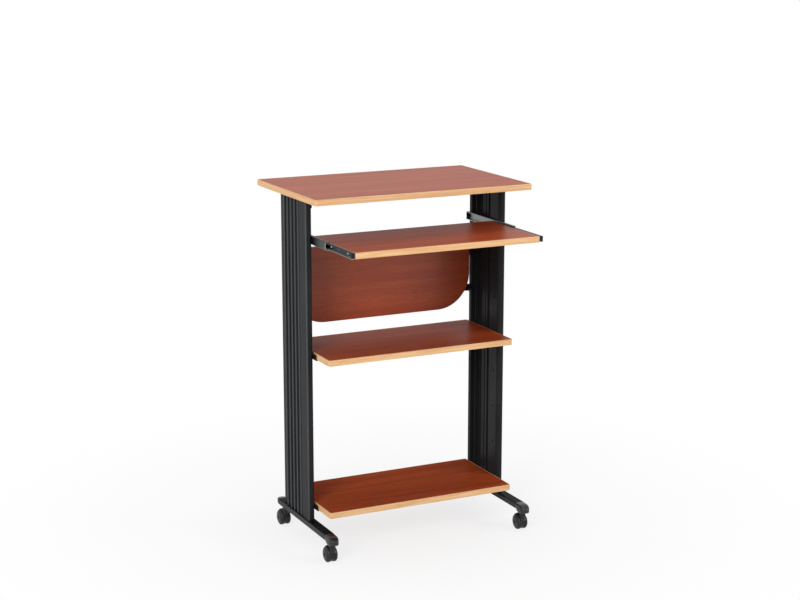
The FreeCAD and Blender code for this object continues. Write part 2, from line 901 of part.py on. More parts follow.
front_seam = s.front_cap_length - s.foot_front
rear_seam = s.foot_rear - s.rear_cap_length
foot_bolt_depth = (ground + s.column_thickness) / 2
foot_bolt_x = outer_x - foot_bolt_depth
front_plate_y = shoulder_y - s.bead_radius - s.front_plate_length
foot_bolt_rows = (front_plate_y + s.front_plate_length / 2, column_rear - s.rear_land / 2)


def make_foot_bar(name, side):
    half, wall = s.foot_width / 2, s.foot_wall
    outer = round_box(-half, as_size(0), half, s.foot_height, s.foot_radius)
    inner = round_box(wall - half, wall, half - wall, s.foot_height - wall, s.foot_radius - wall)
    body = new_body(name + "_foot_bar", column_x * side, column_y, s.floor_gap)
    pad(body, new_sketch(body, "XZ", [outer, inner], lift=-rear_seam), rear_seam - front_seam)
    bolts = [((foot_bolt_x - column_x) * side, y, s.hole_radius) for y in foot_bolt_rows]
    pocket(body, new_sketch(body, "XY", circles=bolts))
    stem = [(0, s.caster_rear, s.stem_radius + s.screw_hole_play)]
    pocket(body, new_sketch(body, "XY", circles=stem), wall + s.fit, reverse=True)
    keep(body, name + "_foot_bar")


def make_front_cap(name, side):
    """The drooping nose at the front of a foot, with the socket of its caster's stem."""
    half, long, droop, over = s.foot_width / 2, s.front_cap_length, s.nose_droop, s.overrun
    top = droop + s.foot_height
    body = new_body(name + "_foot_nose_cap", column_x * side, column_y - s.foot_front, s.floor_gap - droop)
    pad(body, new_sketch(body, "XY", [half_round(half, long, as_size(0))]), top)
    run, drop, toe = s.nose_round_length, s.nose_round_drop, s.nose_toe_radius
    round_radius = (run * run + drop * drop) / (drop * 2)
    brow = [
        (-over, top - drop), (0, top - drop), (run, top, run, top - round_radius, -1),
        (run, top + over), (-over, top + over),
    ]
    chin = [(-over, toe), (0, toe), (toe, 0, toe, toe, 1), (toe, -over), (-over, -over)]
    heel = [
        (long + over, -over), (long + over, droop), (long, droop),
        (long - s.nose_slope_length, 0), (long - s.nose_slope_length, -over),
    ]
    for outline in (brow, chin, heel):
        pocket(body, new_sketch(body, "YZ", [outline]))
    rim = top - drop

    def on_top_rim(edge):
        bounds = edge.BoundBox
        return bounds.ZMin > rim.value and bounds.YLength > s.fit.value and bounds.YMax <= long.value

    fillet(body, s.nose_edge_radius, on_top_rim)
    pad(body, new_sketch(body, "XZ", [spigot_outline(droop)], lift=-long), s.front_spigot, reverse=True)
    socket = [(0, s.foot_front - s.caster_front, s.stem_radius + s.fit)]
    pocket(body, new_sketch(body, "XY", circles=socket), top - s.stem_top_gap, reverse=True)
    keep(body, name + "_foot_nose_cap")


def make_rear_cap(name, side):
    half, long = s.foot_width / 2, s.rear_cap_length
    body = new_body(name + "_foot_rear_cap", column_x * side, column_y + rear_seam, s.floor_gap)
    pad(body, new_sketch(body, "XY", [half_round(half, 0, long)]), s.foot_height)

    def on_side(edge):
        bounds = edge.BoundBox
        return same(bounds.ZLength, as_size(0)) and same(bounds.XMin, half) and same(bounds.XMax, half)

    fillet(body, s.foot_radius, on_side)
    pad(body, new_sketch(body, "XZ", [spigot_outline(as_size(0))]), s.rear_spigot)
    socket = [(0, s.caster_rear - rear_seam, s.stem_radius + s.fit)]
    pocket(body, new_sketch(body, "XY", circles=socket), s.foot_height - s.stem_top_gap, reverse=True)
    keep(body, name + "_foot_rear_cap")


def make_base_plates():
    """Plates inside the lower ends of the posts, which take the foot's bolts."""
    wall, deep = s.post_wall, s.column_thickness
    front = (wall, front_plate_y, s.front_plate_length)
    rear = (ground + wall, rear_land_y + wall, s.rear_land - wall - s.front_corner_radius)
    thick, over = s.base_plate_thickness, s.overrun
    plates = []
    for name, side in SIDES.items():
        for (depth, y, length), bolt_y in zip((front, rear), foot_bolt_rows):
            near, far = outer_x - deep + wall, outer_x - depth
            low = (low_x(side, near, far), column_y + y, foot_top)
            blank = box(f"{name}_plate_blank", low, (far - near, length, thick))
            low = (foot_bolt_x * side, column_y + bolt_y, foot_top - over)
            hole = cylinder(f"{name}_plate_hole", s.bolt_radius + s.fit, thick + over * 2, low, "Z")
            plates.append(cut(f"{name}_plate", blank, hole))
    group("foot_base_plates", plates)


# Casters. Each is drawn about the middle of its axle, with the swivel stem ahead of it.

CASTERS = {
    f"{end}_{name}": (column_x * side, y)
    for end, y in (("front", -s.caster_front), ("rear", s.caster_rear))
    for name, side in SIDES.items()
}
boss_top = s.floor_gap - s.nose_droop - s.swivel_gap - s.wheel_radius
hood_radius = s.wheel_radius + s.hood_gap + s.hood_wall
wheel_near = s.wheel_spacing / 2
wheel_far = wheel_near + s.wheel_width


def axle_place(x, y):
    return x, column_y + y + s.caster_trail, s.wheel_radius


def make_hood(name, x, y):
    """A curved hood over both wheels, with a web between them and the swivel boss."""
    front, rear, hub = s.hood_front_rise, s.hood_rear_drop, s.hood_hub_radius
    rim = hood_radius
    outline = [
        (root(rim * rim - rear * rear), -rear),
        (-root(rim * rim - front * front), front, 0, 0, 1),
        (-hub, 0),
        (hub, 0, 0, 0, 1),
    ]
    body = new_body(name + "_caster_hood", *axle_place(x, y))
    pad(body, new_sketch(body, "YZ", [outline]), (wheel_far - s.hood_inset) * 2, symmetric=True)
    boss = [(0, -s.caster_trail, s.boss_radius)]
    pad(body, new_sketch(body, "XY", circles=boss, lift=s.stem_seat_height), boss_top - s.stem_seat_height)
    web = wheel_near - s.hood_web_gap
    for side in SIDES.values():
        inside = [(0, 0, s.wheel_radius + s.hood_gap)]
        pocket(body, new_sketch(body, "YZ", circles=inside, lift=web * side), wheel_far, reverse=side > 0)
    pocket(body, new_sketch(body, "YZ", circles=[(0, 0, s.axle_radius + s.fit)]))
    stem = [(0, -s.caster_trail, s.stem_radius + s.stem_play)]
    sketch = new_sketch(body, "XY", circles=stem, lift=boss_top)
    pocket(body, sketch, boss_top - s.stem_seat_height - s.swivel_gap)

    def on_outer_rim(edge):
        bounds = edge.BoundBox
        return same(bounds.XLength, as_size(0)) and bounds.ZMax > s.wheel_radius.value + s.hood_gap.value

    fillet(body, s.hood_edge_radius, lambda edge: on_outer_rim(edge) and edge.Length > hood_radius.value)
    keep(body, name + "_caster_hood")


def make_wheel(name, x, y, side, label):
    near, far, rim = wheel_near, wheel_far, s.wheel_radius
    shoulder, edge, bore = s.wheel_shoulder, s.wheel_inner_edge, s.axle_radius + s.wheel_play
    cover, dish = far - s.axle_cover_depth, far - s.wheel_dish
    outline = [
        (near, bore), (cover, bore), (cover, s.axle_cover_radius), (far, s.axle_cover_radius),
        (far, s.wheel_hub_radius), (dish, s.wheel_hub_radius), (dish, s.wheel_rim_radius),
        (far, s.wheel_rim_radius), (far, rim - shoulder),
        (far - shoulder, rim, far - shoulder, rim - shoulder, 1),
        (near + edge, rim), (near, rim - edge, near + edge, rim - edge, 1),
    ]
    body = new_body(f"{name}_{label}", *axle_place(x, y))
    sketch = new_sketch(body, "XY", [mirrored(side, outline)])
    turned = body.newObject("PartDesign::Revolution", body.Name + "_turned")
    turned.Profile = sketch
    turned.ReferenceAxis = (sketch, ["H_Axis"])
    turned.Angle = 360
    keep(body, f"{name}_{label}")


def make_axle(name, x, y):
    half = wheel_far - s.axle_cover_depth
    middle_x, middle_y, middle_z = axle_place(x, y)
    axle = cylinder(name + "_axle", s.axle_radius, half * 2, (middle_x - half, middle_y, middle_z), "X")
    keep(axle, name + "_caster_axle")


def make_stems():
    """Caster stems fixed in the feet, and the rings below the feet that seat the rear pair."""
    bottom = s.wheel_radius + s.stem_seat_height + s.swivel_gap * 2
    length = s.floor_gap + s.foot_height - s.stem_top_gap - s.swivel_gap - bottom
    stems, rings = [], []
    for name, (x, y) in CASTERS.items():
        stems.append(cylinder(name + "_stem", s.stem_radius, length, (x, column_y + y, bottom), "Z"))
        if name.startswith("rear"):
            low = (x, column_y + y, s.floor_gap - s.nose_droop)
            blank = cylinder(name + "_ring_blank", s.boss_radius, s.nose_droop, low, "Z")
            bore = cylinder(name + "_ring_bore", s.stem_radius + s.fit, s.nose_droop, low, "Z")
            rings.append(cut(name + "_ring", blank, bore))
    group("caster_stems", stems)
    group("rear_stem_rings", rings)


# Fasteners


def bolt(name, side, sheet, y, z):
    """A button-head bolt through a bracket or slide of that sheet into an upright's inner wall."""
    seat = inner_x - sheet
    tip = seat + s.bolt_length
    crown = seat - s.bolt_head_height
    low = (low_x(side, crown, seat), y, z)
    head = cylinder(name + "_head", s.bolt_head_radius, s.bolt_head_height, low, "X")
    low = (low_x(side, seat, tip), y, z)
    shank = cylinder(name + "_shank", s.bolt_radius, s.bolt_length, low, "X")
    low = (low_x(side, crown, crown + s.bolt_socket_depth), y, z)
    socket = hexagon(name + "_socket", s.bolt_socket_radius, s.bolt_socket_depth, low, "X")
    return cut(name, fuse(name + "_blank", [head, shank]), socket)


def make_bolts():
    places = []
    for row in (BOTTOM_ROW, MIDDLE_ROW):
        places += [(y, hole_height(row)) for y in (front_hole_y, rear_hole_y)]
    places += [(y, worktop_bottom - s.top_bolt_drop) for y in (front_hole_y, rear_hole_y)]
    places += [(rear_hole_y, hole_height(row)) for row in PANEL_ROWS]
    group("bracket_bolts", [
        bolt(f"{name}_bolt", side, s.bracket_sheet, column_y + y, z)
        for name, side in SIDES.items() for y, z in places
    ])
    group("slide_bolts", [
        bolt(f"{name}_slide_bolt", side, s.slide_wall, column_y + y, slide_z)
        for name, side in SIDES.items() for y in (front_hole_y, rear_hole_y)
    ])


def make_foot_bolts():
    bolts = []
    length = s.foot_height + s.base_plate_thickness
    for name, side in SIDES.items():
        for y in foot_bolt_rows:
            x, bolt_y, seat = foot_bolt_x * side, column_y + y, s.floor_gap
            low = (x, bolt_y, seat - s.foot_bolt_head_height)
            head = cylinder(f"{name}_foot_head", s.bolt_head_radius, s.foot_bolt_head_height, low, "Z")
            shank = cylinder(f"{name}_foot_shank", s.bolt_radius, length, (x, bolt_y, seat), "Z")
            socket = hexagon(f"{name}_foot_socket", s.bolt_socket_radius, s.bolt_socket_depth, low, "Z")
            bolts.append(cut(f"{name}_foot_bolt", fuse(f"{name}_foot_blank", [head, shank]), socket))
    group("foot_bolts", bolts)


def screw_up(name, x, y, seat):
    """A wood screw that goes up into a board from the face at height seat."""
    tall = s.screw_head_height
    head = cylinder(name + "_head", s.screw_head_radius, tall, (x, y, seat - tall), "Z")
    shank = cylinder(name + "_shank", s.screw_radius, s.screw_length, (x, y, seat), "Z")
    return fuse(name, [head, shank])


def make_screws():
    screws = []
    boards = [(worktop_bottom, top_screws)]
    boards += [(shelf_bottom(row), shelf_screws) for row in (BOTTOM_ROW, MIDDLE_ROW)]
    for bottom, places in boards:
        screws += [screw_up("screw", x, column_y + y, bottom - s.bracket_sheet) for x, y in places]
    seat = column_y + column_rear + s.bracket_sheet
    for x, z in panel_screw_places():
        low = (x, seat, panel_bottom + z)
        head = cylinder("panel_screw_head", s.screw_head_radius, s.screw_head_height, low, "Y")
        low = (x, seat - s.screw_length, panel_bottom + z)
        shank = cylinder("panel_screw_shank", s.screw_radius, s.screw_length, low, "Y")
        screws.append(fuse("panel_screw", [head, shank]))
    group("board_screws", screws)


def make_slide_screws():
    screws = []
    seat = inner_x - s.slide_width + s.slide_wall
    for side in SIDES.values():
        for y in slide_screw_rows:
            low = (low_x(side, seat, seat + s.screw_head_height), column_y + y, slide_z)
            head = cylinder("slide_screw_head", s.screw_head_radius, s.screw_head_height, low, "X")
            low = (low_x(side, seat - s.screw_length, seat), column_y + y, slide_z)
            shank = cylinder("slide_screw_shank", s.screw_radius, s.screw_length, low, "X")
            screws.append(fuse("slide_screw", [head, shank]))
    group("slide_screws", screws)


# The whole part

make_worktop()
make_keyboard_shelf()
make_shelf("middle_shelf", MIDDLE_ROW)
make_shelf("bottom_shelf", BOTTOM_ROW)
make_modesty_panel()
make_modesty_brackets()
make_worktop_brackets()
make_shelf_brackets("middle_shelf", MIDDLE_ROW)
make_shelf_brackets("bottom_shelf", BOTTOM_ROW)
for name, side in SIDES.items():
    make_front_post(name, side)
    make_rear_post(name, side)
    make_fluted_panel(name, side)
    make_outer_member(name, side)
    make_inner_member(name, side)
    make_balls(name, side)
    make_foot_bar(name, side)
    make_front_cap(name, side)
    make_rear_cap(name, side)
make_slide_ends()
make_base_plates()
for name, (x, y) in CASTERS.items():
    make_hood(name, x, y)
    make_axle(name, x, y)
    make_wheel(name, x, y, -1, "left_wheel")
    make_wheel(name, x, y, 1, "right_wheel")
make_stems()
make_bolts()
make_foot_bolts()
make_screws()
make_slide_screws()
doc.recompute()

faults = [item.Name for item in doc.Objects if {"Invalid", "Error"} & set(item.State)]
faults += [item.Label for item in sub_parts if item.Shape.isNull() or not item.Shape.isValid()]
if faults:
    raise RuntimeError("failed objects: " + ", ".join(faults))

os.makedirs("parts", exist_ok=True)
for item in sub_parts:
    item.Shape.exportStep(os.path.join("parts", item.Label + ".step"))
print(len(sub_parts), "sub-parts written")
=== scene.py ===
import math

import bmesh
import bpy
from bpy.props import FloatProperty, FloatVectorProperty, PointerProperty
from mathutils import Matrix, Vector


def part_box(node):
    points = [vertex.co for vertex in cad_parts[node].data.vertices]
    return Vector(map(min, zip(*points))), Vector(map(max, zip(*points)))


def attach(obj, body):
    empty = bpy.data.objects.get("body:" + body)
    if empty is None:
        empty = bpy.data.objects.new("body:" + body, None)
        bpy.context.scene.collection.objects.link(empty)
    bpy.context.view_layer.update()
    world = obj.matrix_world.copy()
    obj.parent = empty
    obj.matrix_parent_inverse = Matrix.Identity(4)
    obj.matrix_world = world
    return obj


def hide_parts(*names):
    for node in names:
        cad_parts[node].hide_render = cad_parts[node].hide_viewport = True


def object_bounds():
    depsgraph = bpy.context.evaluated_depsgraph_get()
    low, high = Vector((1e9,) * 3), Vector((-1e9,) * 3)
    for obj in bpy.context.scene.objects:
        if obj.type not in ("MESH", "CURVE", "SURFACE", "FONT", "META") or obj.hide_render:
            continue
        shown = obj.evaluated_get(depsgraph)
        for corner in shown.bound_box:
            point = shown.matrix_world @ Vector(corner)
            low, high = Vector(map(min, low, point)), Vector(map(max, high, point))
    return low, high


bl_info = {
    "name": "Stand-up workstation",
    "version": (1, 0, 0),
    "blender": (4, 5, 0),
    "location": "3D View > Sidebar > Workstation",
    "description": "Dresses a mobile stand-up workstation: boards, uprights, slides, feet and casters",
    "category": "Object",
}

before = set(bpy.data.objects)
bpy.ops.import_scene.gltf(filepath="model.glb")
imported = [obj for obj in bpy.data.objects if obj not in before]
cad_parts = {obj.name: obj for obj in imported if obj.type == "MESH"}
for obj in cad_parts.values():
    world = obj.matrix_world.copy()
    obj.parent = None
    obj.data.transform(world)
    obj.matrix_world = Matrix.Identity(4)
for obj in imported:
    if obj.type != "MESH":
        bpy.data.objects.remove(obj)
cad_box = [list(corner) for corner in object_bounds()]

MM = 0.001
SIDES = {"left": -1, "right": 1}
CASTERS = [f"{end}_{side}" for end in ("front", "rear") for side in SIDES]
X, Y, Z = Vector((1, 0, 0)), Vector((0, 1, 0)), Vector((0, 0, 1))
FULL_TURN = 2 * math.pi

# Points closer than a hair count as one, and edges sharper than this are broken and shaded as edges.
HAIR = 1e-6
SHARP = math.radians(38)

# How finely round shapes are divided.
ROUND_STEPS = 5
SHEET_CORNER_STEPS = 4
SHEET_EDGE_STEPS = 1
PLUG_EDGE_STEPS = 3
FOOT_CORNER_STEPS = 2
CAP_LEVELS = 3
HOLE_SIDES = 28
BOLT_STEPS = 36
SCREW_STEPS = 28
WHEEL_STEPS = 56
DOME_STEPS = 14
FENDER_STEPS = 28
BOSS_STEPS = 40
WEB_STEPS = 24
WEB_LOWER_STEPS = 20


# Settings


def length(name, millimetres, description):
    """A length property, written in millimetres."""
    return FloatProperty(name=name, description=description, default=millimetres * MM, min=0, unit="LENGTH")


def share(name, default, description):
    """A property between nothing and all."""
    return FloatProperty(name=name, description=description, default=default, min=0, max=1, subtype="FACTOR")


def power(name, watts, description):
    return FloatProperty(name=name, description=description, default=watts, min=0, unit="POWER")


def angle(name, radians, description):
    return FloatProperty(name=name, description=description, default=radians, subtype="ANGLE")


def place(name, metres, description):
    """A point property, written in metres."""
    return FloatVectorProperty(name=name, description=description, default=metres, subtype="TRANSLATION")


def linear(step):
    """A colour channel of 0 to 255, as a share of light by the sRGB curve."""
    channel = step / 255
    return channel / 12.92 if channel <= 0.04045 else ((channel + 0.055) / 1.055) ** 2.4


def paint(name, red, green, blue, description):
    """A colour property, written in the steps of 0 to 255 of a colour chart."""
    default = [linear(step) for step in (red, green, blue)]
    return FloatVectorProperty(
        name=name, description=description, default=default, min=0, max=1, subtype="COLOR"
    )


class StageSettings(bpy.types.PropertyGroup):
    """The floor, the light and the camera."""

    camera_place: place("Camera place", (-2.3728, -4.8250, 1.9594), "Where the camera stands")
    camera_pitch: angle("Camera pitch", 0.2177, "How far the camera looks down")
    camera_yaw: angle("Camera yaw", -0.4547, "How far the camera turns from straight ahead, to the left")
    camera_lens: FloatProperty(
        name="Camera lens", description="Focal length of the camera", default=77.27, min=1, unit="CAMERA"
    )
    floor_size: length("Floor size", 90000, "Length of the floor's sides")
    floor_colour: paint("Floor colour", 246, 246, 246, "Colour of the floor")
    floor_glow: share("Floor glow", 0.76, "How much plain white the camera sees on the floor below the desk")
    floor_fade: length("Floor fade", 1700, "How far from the desk the floor turns plain white")
    world_level: share("World level", 0.36, "Light that comes from all around")
    key_place: place("Key lamp place", (-3.3, -2.8, 2.4), "Where the main lamp hangs")
    key_power: power("Key lamp power", 110, "Power of the main lamp")
    key_size: length("Key lamp size", 1800, "Length of the main lamp's sides")
    fill_place: place("Fill lamp place", (3.0, -2.9, 2.0), "Where the second lamp hangs")
    fill_power: power("Fill lamp power", 60, "Power of the second lamp")
    fill_size: length("Fill lamp size", 1800, "Length of the second lamp's sides")
    top_place: place("Top lamp place", (0.2, 0.3, 3.6), "Where the lamp above hangs")
    top_power: power("Top lamp power", 26, "Power of the lamp above")
    top_size: length("Top lamp size", 2000, "Length of the sides of the lamp above")
    rim_place: place("Rim lamp place", (-3.4, 1.2, 1.1), "Where the lamp at the left hangs")
    rim_power: power("Rim lamp power", 10, "Power of the lamp at the left")
    rim_size: length("Rim lamp size", 1500, "Length of the sides of the lamp at the left")


class FinishSettings(bpy.types.PropertyGroup):
    """The colours of the finishes."""

    laminate_light: paint("Laminate light", 174, 80, 42, "Light streaks of the cherry laminate")
    laminate_dark: paint("Laminate dark", 136, 53, 25, "Dark streaks of the cherry laminate")
    laminate_pore: paint("Laminate pore", 84, 30, 16, "Pores of the cherry laminate")
    band_light: paint("Band light", 240, 198, 150, "Light streaks of the edge band")
    band_dark: paint("Band dark", 214, 162, 110, "Dark streaks of the edge band")
    # A grey-brown for the ends of the keyboard shelf's band, where the slides are.
    end_tape: paint("End tape", 138, 122, 112, "Tape on the keyboard shelf's ends, where the slides are")
    charcoal: paint("Charcoal coat", 38, 39, 41, "Powder coat of the uprights")
    # Painted highlight: the lighter coat on the posts' corners and the flutes' crests, with some wear, and
    # painted sheen on the foot bars' sides.
    rubbed: paint("Rubbed coat", 78, 80, 82, "Powder coat of the uprights and the feet where it is rubbed")
    bracket_black: paint("Bracket coat", 26, 26, 28, "Powder coat of the brackets")
    foot_black: paint("Foot coat", 20, 20, 22, "Powder coat of the foot bars")
    cap_black: paint("Cap black", 34, 34, 36, "Caps at the ends of the feet, and rings of the rear stems")
    zinc: paint("Slide zinc", 140, 148, 147, "Zinc inside the slides' outer members")
    # Painted shade: darker zinc on the outside of the slides' outer members.
    dull_zinc: paint("Dull zinc", 76, 84, 82, "Zinc on the outside of the slides' outer members")
    slide_black: paint("Slide blacking", 44, 56, 63, "Dark finish of the slides' inner members")
    moulded_black: paint("Moulded black", 22, 22, 23, "Plugs, stops and ball retainers of the slides")
    bolt_black: paint("Bolt blacking", 40, 40, 42, "Blacked bolts and axles")
    # This colour also paints highlights along the slides' lower rolls and round their notches.
    bright_steel: paint("Bright steel", 190, 190, 188, "Screws, stems, balls, base plates and rubbed edges")
    nylon: paint("Wheel nylon", 32, 32, 33, "Wheels of the casters")
    hood_nylon: paint("Hood nylon", 26, 26, 27, "Hoods of the casters")


class HardwareSettings(bpy.types.PropertyGroup):
    """Sizes of the sheet-metal, turned and moulded pieces."""

    edge_break: length("Edge break", 0.4, "How far the edges of turned and moulded pieces are rounded")
    drill_depth: length("Drill depth", 40, "Length of the bits that cut right through")
    bracket_sheet: length("Bracket sheet", 2.5, "Thickness of the brackets")
    bracket_corner: length("Bracket corner", 5, "How far the brackets' free corners are rounded")
    fold_radius: length("Fold radius", 3.4, "Radius of the brackets' folds, at the middle of the sheet")
    sheet_edge: length("Sheet edge", 0.35, "How far the edges of the brackets are broken")
    bolt_hole: length("Bolt hole", 3.5, "Radius of the holes for bolts")
    bolt_shank: length("Bolt shank", 3.0, "Radius of the bolts")
    bolt_head: length("Bolt head", 2.4, "Height of the bolts' button heads")
    foot_bolt_head: length("Foot bolt head", 3.5, "Height of the heads of the bolts below the feet")
    head_dome: share("Head dome", 0.62, "Shares of a head's radius and height between which it is domed")
    bolt_socket: length("Bolt socket", 2.3, "Radius of the bolts' hexagon sockets, to their corners")
    bolt_socket_depth: length("Bolt socket depth", 1.4, "Depth of the bolts' hexagon sockets")
    screw_hole: length("Screw hole", 2.4, "Radius of the holes for screws")
    screw_shank: length("Screw shank", 1.9, "Radius of the screws")
    screw_head: length("Screw head", 1.6, "Height of the screws' pan heads")
    cross_reach: length("Cross reach", 4.4, "Length of the arms of the screws' cross recess")
    cross_width: length("Cross width", 0.9, "Width of the screws' cross recess")
    cross_depth: length("Cross depth", 0.9, "Depth of the screws' cross recess")
    slide_sheet: length("Slide sheet", 1.2, "Thickness of the slide members")
    slide_roll: length("Slide roll", 2.4, "Radius at the corners of the slide members")
    slide_edge: length("Slide edge", 0.2, "How far the edges of the slide members are broken")
    outer_lip: length("Outer lip", 1.9, "How far the outer members' lips turn in")
    inner_lip: length("Inner lip", 1.6, "How far the inner members' lips turn in")
    lip_round: share("Lip round", 0.8, "How far the members' lips are rounded, as a share of the lips")
    notch_radius: length("Notch radius", 6.5, "Radius of the notch in the front end of the outer members")
    notch_bit: length("Notch bit", 3.6, "Length of the bit that cuts the notch in the web alone")
    window_inset: length("Window inset", 24, "From the inner member's front end to its first round window")
    window_pitch: length("Window pitch", 62, "From one round window to the next")
    window_radius: length("Window radius", 3.2, "Radius of the round windows")
    slot_radius: length("Slot radius", 1.8, "Half the width of the slots in the inner members")
    slot_length: length("Slot length", 12, "How far the slots are stretched")
    slot_offset: length("Slot offset", 21.7, "From a round window to the slot behind it")
    plug_rim: length("Plug rim", 1.5, "Width of the rim round the plugs' fronts")
    plug_dish: length("Plug dish", 1.0, "Depth of the plugs' sunken fronts")
    plug_edge: length("Plug edge", 0.6, "How far the plugs' edges are rounded")
    foot_corner: length("Foot corner", 5, "Radius along the foot bars' edges")
    wheel_bore: length("Wheel bore", 3.06, "Radius of the bore for the axle, in the wheels and the hoods")
    wheel_hub: length("Wheel hub", 6, "Radius at the top of the wheels' domed faces")
    wheel_tread: share("Wheel tread", 0.42, "Share of the wheels' width that is flat tread")
    wheel_groove: length("Wheel groove", 0.8, "Depth of the groove between the tyre and the face")
    wheel_edge: length("Wheel edge", 1.5, "How far the tread's inner edge is rounded")
    axle_cover: length("Axle cover", 4.2, "Radius of the recess at the axle's end")
    axle_depth: length("Axle depth", 4.0, "Depth of the recess at the axle's end")
    hood_wall: length("Hood wall", 2.2, "Thickness of the casters' hoods")
    hood_skirt: length("Hood skirt", 1.3, "How far the hoods' sides turn down")
    hood_crown: share("Hood crown", 0.66, "Share of the hoods' width that is level")
    hood_arch: length("Hood arch", 2.6, "How far the hoods' shoulders are rounded")
    hood_rear: angle("Hood rear", 0.105, "How far the hoods reach below the axle at the rear")
    hood_front: angle("Hood front", 0.356, "How far the hoods end above the axle at the front")
    web_half: length("Web half", 5.5, "Half the thickness of the plate between the wheels")
    web_reach: length("Web reach", 23.4, "How far the plate reaches from the axle below")
    boss_radius: length("Boss radius", 9.5, "Radius of the swivel boss")
    boss_foot: length("Boss foot", 10, "Height of the boss's lower end above the axle")
    boss_neck: length("Boss neck", 3, "Height of the boss's narrower neck")
    boss_waist: share("Boss waist", 0.88, "Radius of the neck, as a share of the boss's radius")
    stem_depth: length("Stem depth", 22, "Depth of the boss's bore for the stem")
    stem_bore: length("Stem bore", 4.06, "Radius of the boss's bore for the stem")


# Shader trees


class Socket:
    """One output of a shader node. Sums with it add Math nodes to its tree."""

    def __init__(self, tree, socket):
        self.tree = tree
        self.socket = socket

    def out(self, name):
        """Another output of the same node."""
        return Socket(self.tree, find(self.socket.node.outputs, name))

    def __add__(self, other):
        return self.tree.sum("ADD", self, other)

    def __sub__(self, other):
        return self.tree.sum("SUBTRACT", self, other)

    def __rsub__(self, other):
        return self.tree.sum("SUBTRACT", other, self)

    def __mul__(self, other):
        return self.tree.sum("MULTIPLY", self, other)

    __radd__ = __add__
    __rmul__ = __mul__


def find(sockets, key):
    """A socket by its place or its name, among those in use."""
    if isinstance(key, int):
        return sockets[key]
    return next(socket for socket in sockets if socket.enabled and socket.name == key)


def as_colour(value):
    """A colour of three channels with its fourth, and any other value as it is."""
    if isinstance(value, (Socket, float, int)):
        return value
    return (*value, 1.0) if len(value) == 3 else value


class ShaderTree:
    """The nodes of a material or a world."""

    def __init__(self, holder):
        holder.use_nodes = True
        self.holder = holder
        self.nodes = holder.node_tree.nodes
        self.links = holder.node_tree.links
        self.nodes.clear()

    def node(self, kind, settings, sockets, output=0):
        """Add a node: its settings come first, then the values or links of its sockets."""
        item = self.nodes.new("ShaderNode" + kind)
        for key, value in settings.items():
            setattr(item, key, value)
        for key, value in sockets.items():
            if isinstance(value, Socket):
                self.links.new(value.socket, find(item.inputs, key))
            else:
                find(item.inputs, key).default_value = value
        return Socket(self, find(item.outputs, output)) if item.outputs else None

    def sum(self, operation, first, second):
        return self.node("Math", {"operation": operation}, {0: first, 1: second})

    def between(self, factor, first, second):
        """A colour between two, by a factor."""
        colours = {"Factor": factor, "A": as_colour(first), "B": as_colour(second)}
        return self.node("Mix", {"data_type": "RGBA"}, colours, "Result")

    def coordinates(self):
        return self.node("TexCoord", {}, {}, "Object")

    def shaded(self, factor, colour, low, high):
        """A colour between a darker and a lighter shade of one, by a factor."""
        dark, light = ([level * channel for channel in colour] for level in (low, high))
        return self.between(factor, dark, light)

    def noise(self, per_metre, detail, distortion=0.0):
        """Soft noise from 0 to 1, with as many grains to the metre along each axis as given."""
        stretched = self.node("Mapping", {}, {"Vector": self.coordinates(), "Scale": per_metre})
        values = {"Vector": stretched, "Scale": 1.0, "Detail": detail, "Distortion": distortion}
        return self.node("TexNoise", {}, values)

    def step(self, value, low, high):
        """A mask that rises from 0 to 1 as a value goes from low to high, by a ramp from black to white."""
        mask = self.node("ValToRGB", {}, {"Fac": value})
        black, white = mask.socket.node.color_ramp.elements
        black.position = low
        white.position = high
        return mask

    def rise(self, value, low, high):
        """A mask that rises softly from 0 to 1 between two places, for lengths in metres."""
        reach = {"Value": value, "From Min": low, "From Max": high}
        return self.node("MapRange", {"interpolation_type": "SMOOTHSTEP"}, reach)

    def near(self, value, end, reach):
        """A mask near an upper end: it starts at one length before the end, and is full at another."""
        starts, full = reach
        return self.rise(value, end - starts, end - full)

    def along(self, axis):
        """How far a point lies along an axis of the desk."""
        return self.node("SeparateXYZ", {}, {"Vector": self.coordinates()}, axis)

    def size_of(self, value):
        """A value without its sign."""
        return self.sum("ABSOLUTE", value, 0.0)

    def aside(self):
        """How far a point lies from the desk's middle plane."""
        return self.size_of(self.along("X"))

    def bump(self, height, depth, strength):
        return self.node("Bump", {}, {"Height": height, "Distance": depth, "Strength": strength})

    def surface(self, gloss=None, **sockets):
        """End a material in one Principled shader, whose sockets are named with low lines for spaces."""
        named = {key.replace("_", " ").title(): as_colour(value) for key, value in sockets.items()}
        if gloss is not None:
            named["Specular IOR Level"] = gloss
        shader = self.node("BsdfPrincipled", {}, named)
        self.node("OutputMaterial", {}, {"Surface": shader})
        return self.holder


def finish(mix):
    """Mix a finish once, and hand out the same material each time it is asked for."""

    def fetch():
        name = mix.__name__ + "_finish"
        known = bpy.data.materials.get(name)
        return known or mix(ShaderTree(bpy.data.materials.new(name)), bpy.context.scene.desk_finishes)

    return fetch


# Finishes


# Where a finish changes near an edge: how far before the edge that starts, and how far before it is full.
# The posts' corners and the flutes' crests get a painted highlight with some wear, the foot bars' sides get
# painted sheen, and the outside of the slides gets painted shade.
CORNER_SHEEN_AND_WEAR = (6 * MM, 3.6 * MM)
CREST_SHEEN_AND_WEAR = (3 * MM, 0)
FOOT_SHEEN_EDGE = (2.6 * MM, 0.6 * MM)
GREY_END_START = (2.6 * MM, 2.4 * MM)
SLIDE_OUTSIDE = (0.8 * MM, 0.3 * MM)

# How much lighter the foot bars' sides are painted, as painted sheen.
FOOT_SHEEN_SHARE = 0.7

# How wide the painted highlights on the slides' edges are, and how far they fade out beyond that.
ROLL_RIM, ROLL_FADE = 1.6 * MM, 0.8 * MM
NOTCH_RIM, NOTCH_FADE = 2 * MM, 0.4 * MM

# Scratches to the metre: across the desk, from front to back and upwards.
SLIDE_GRAIN = (700, 12, 700)


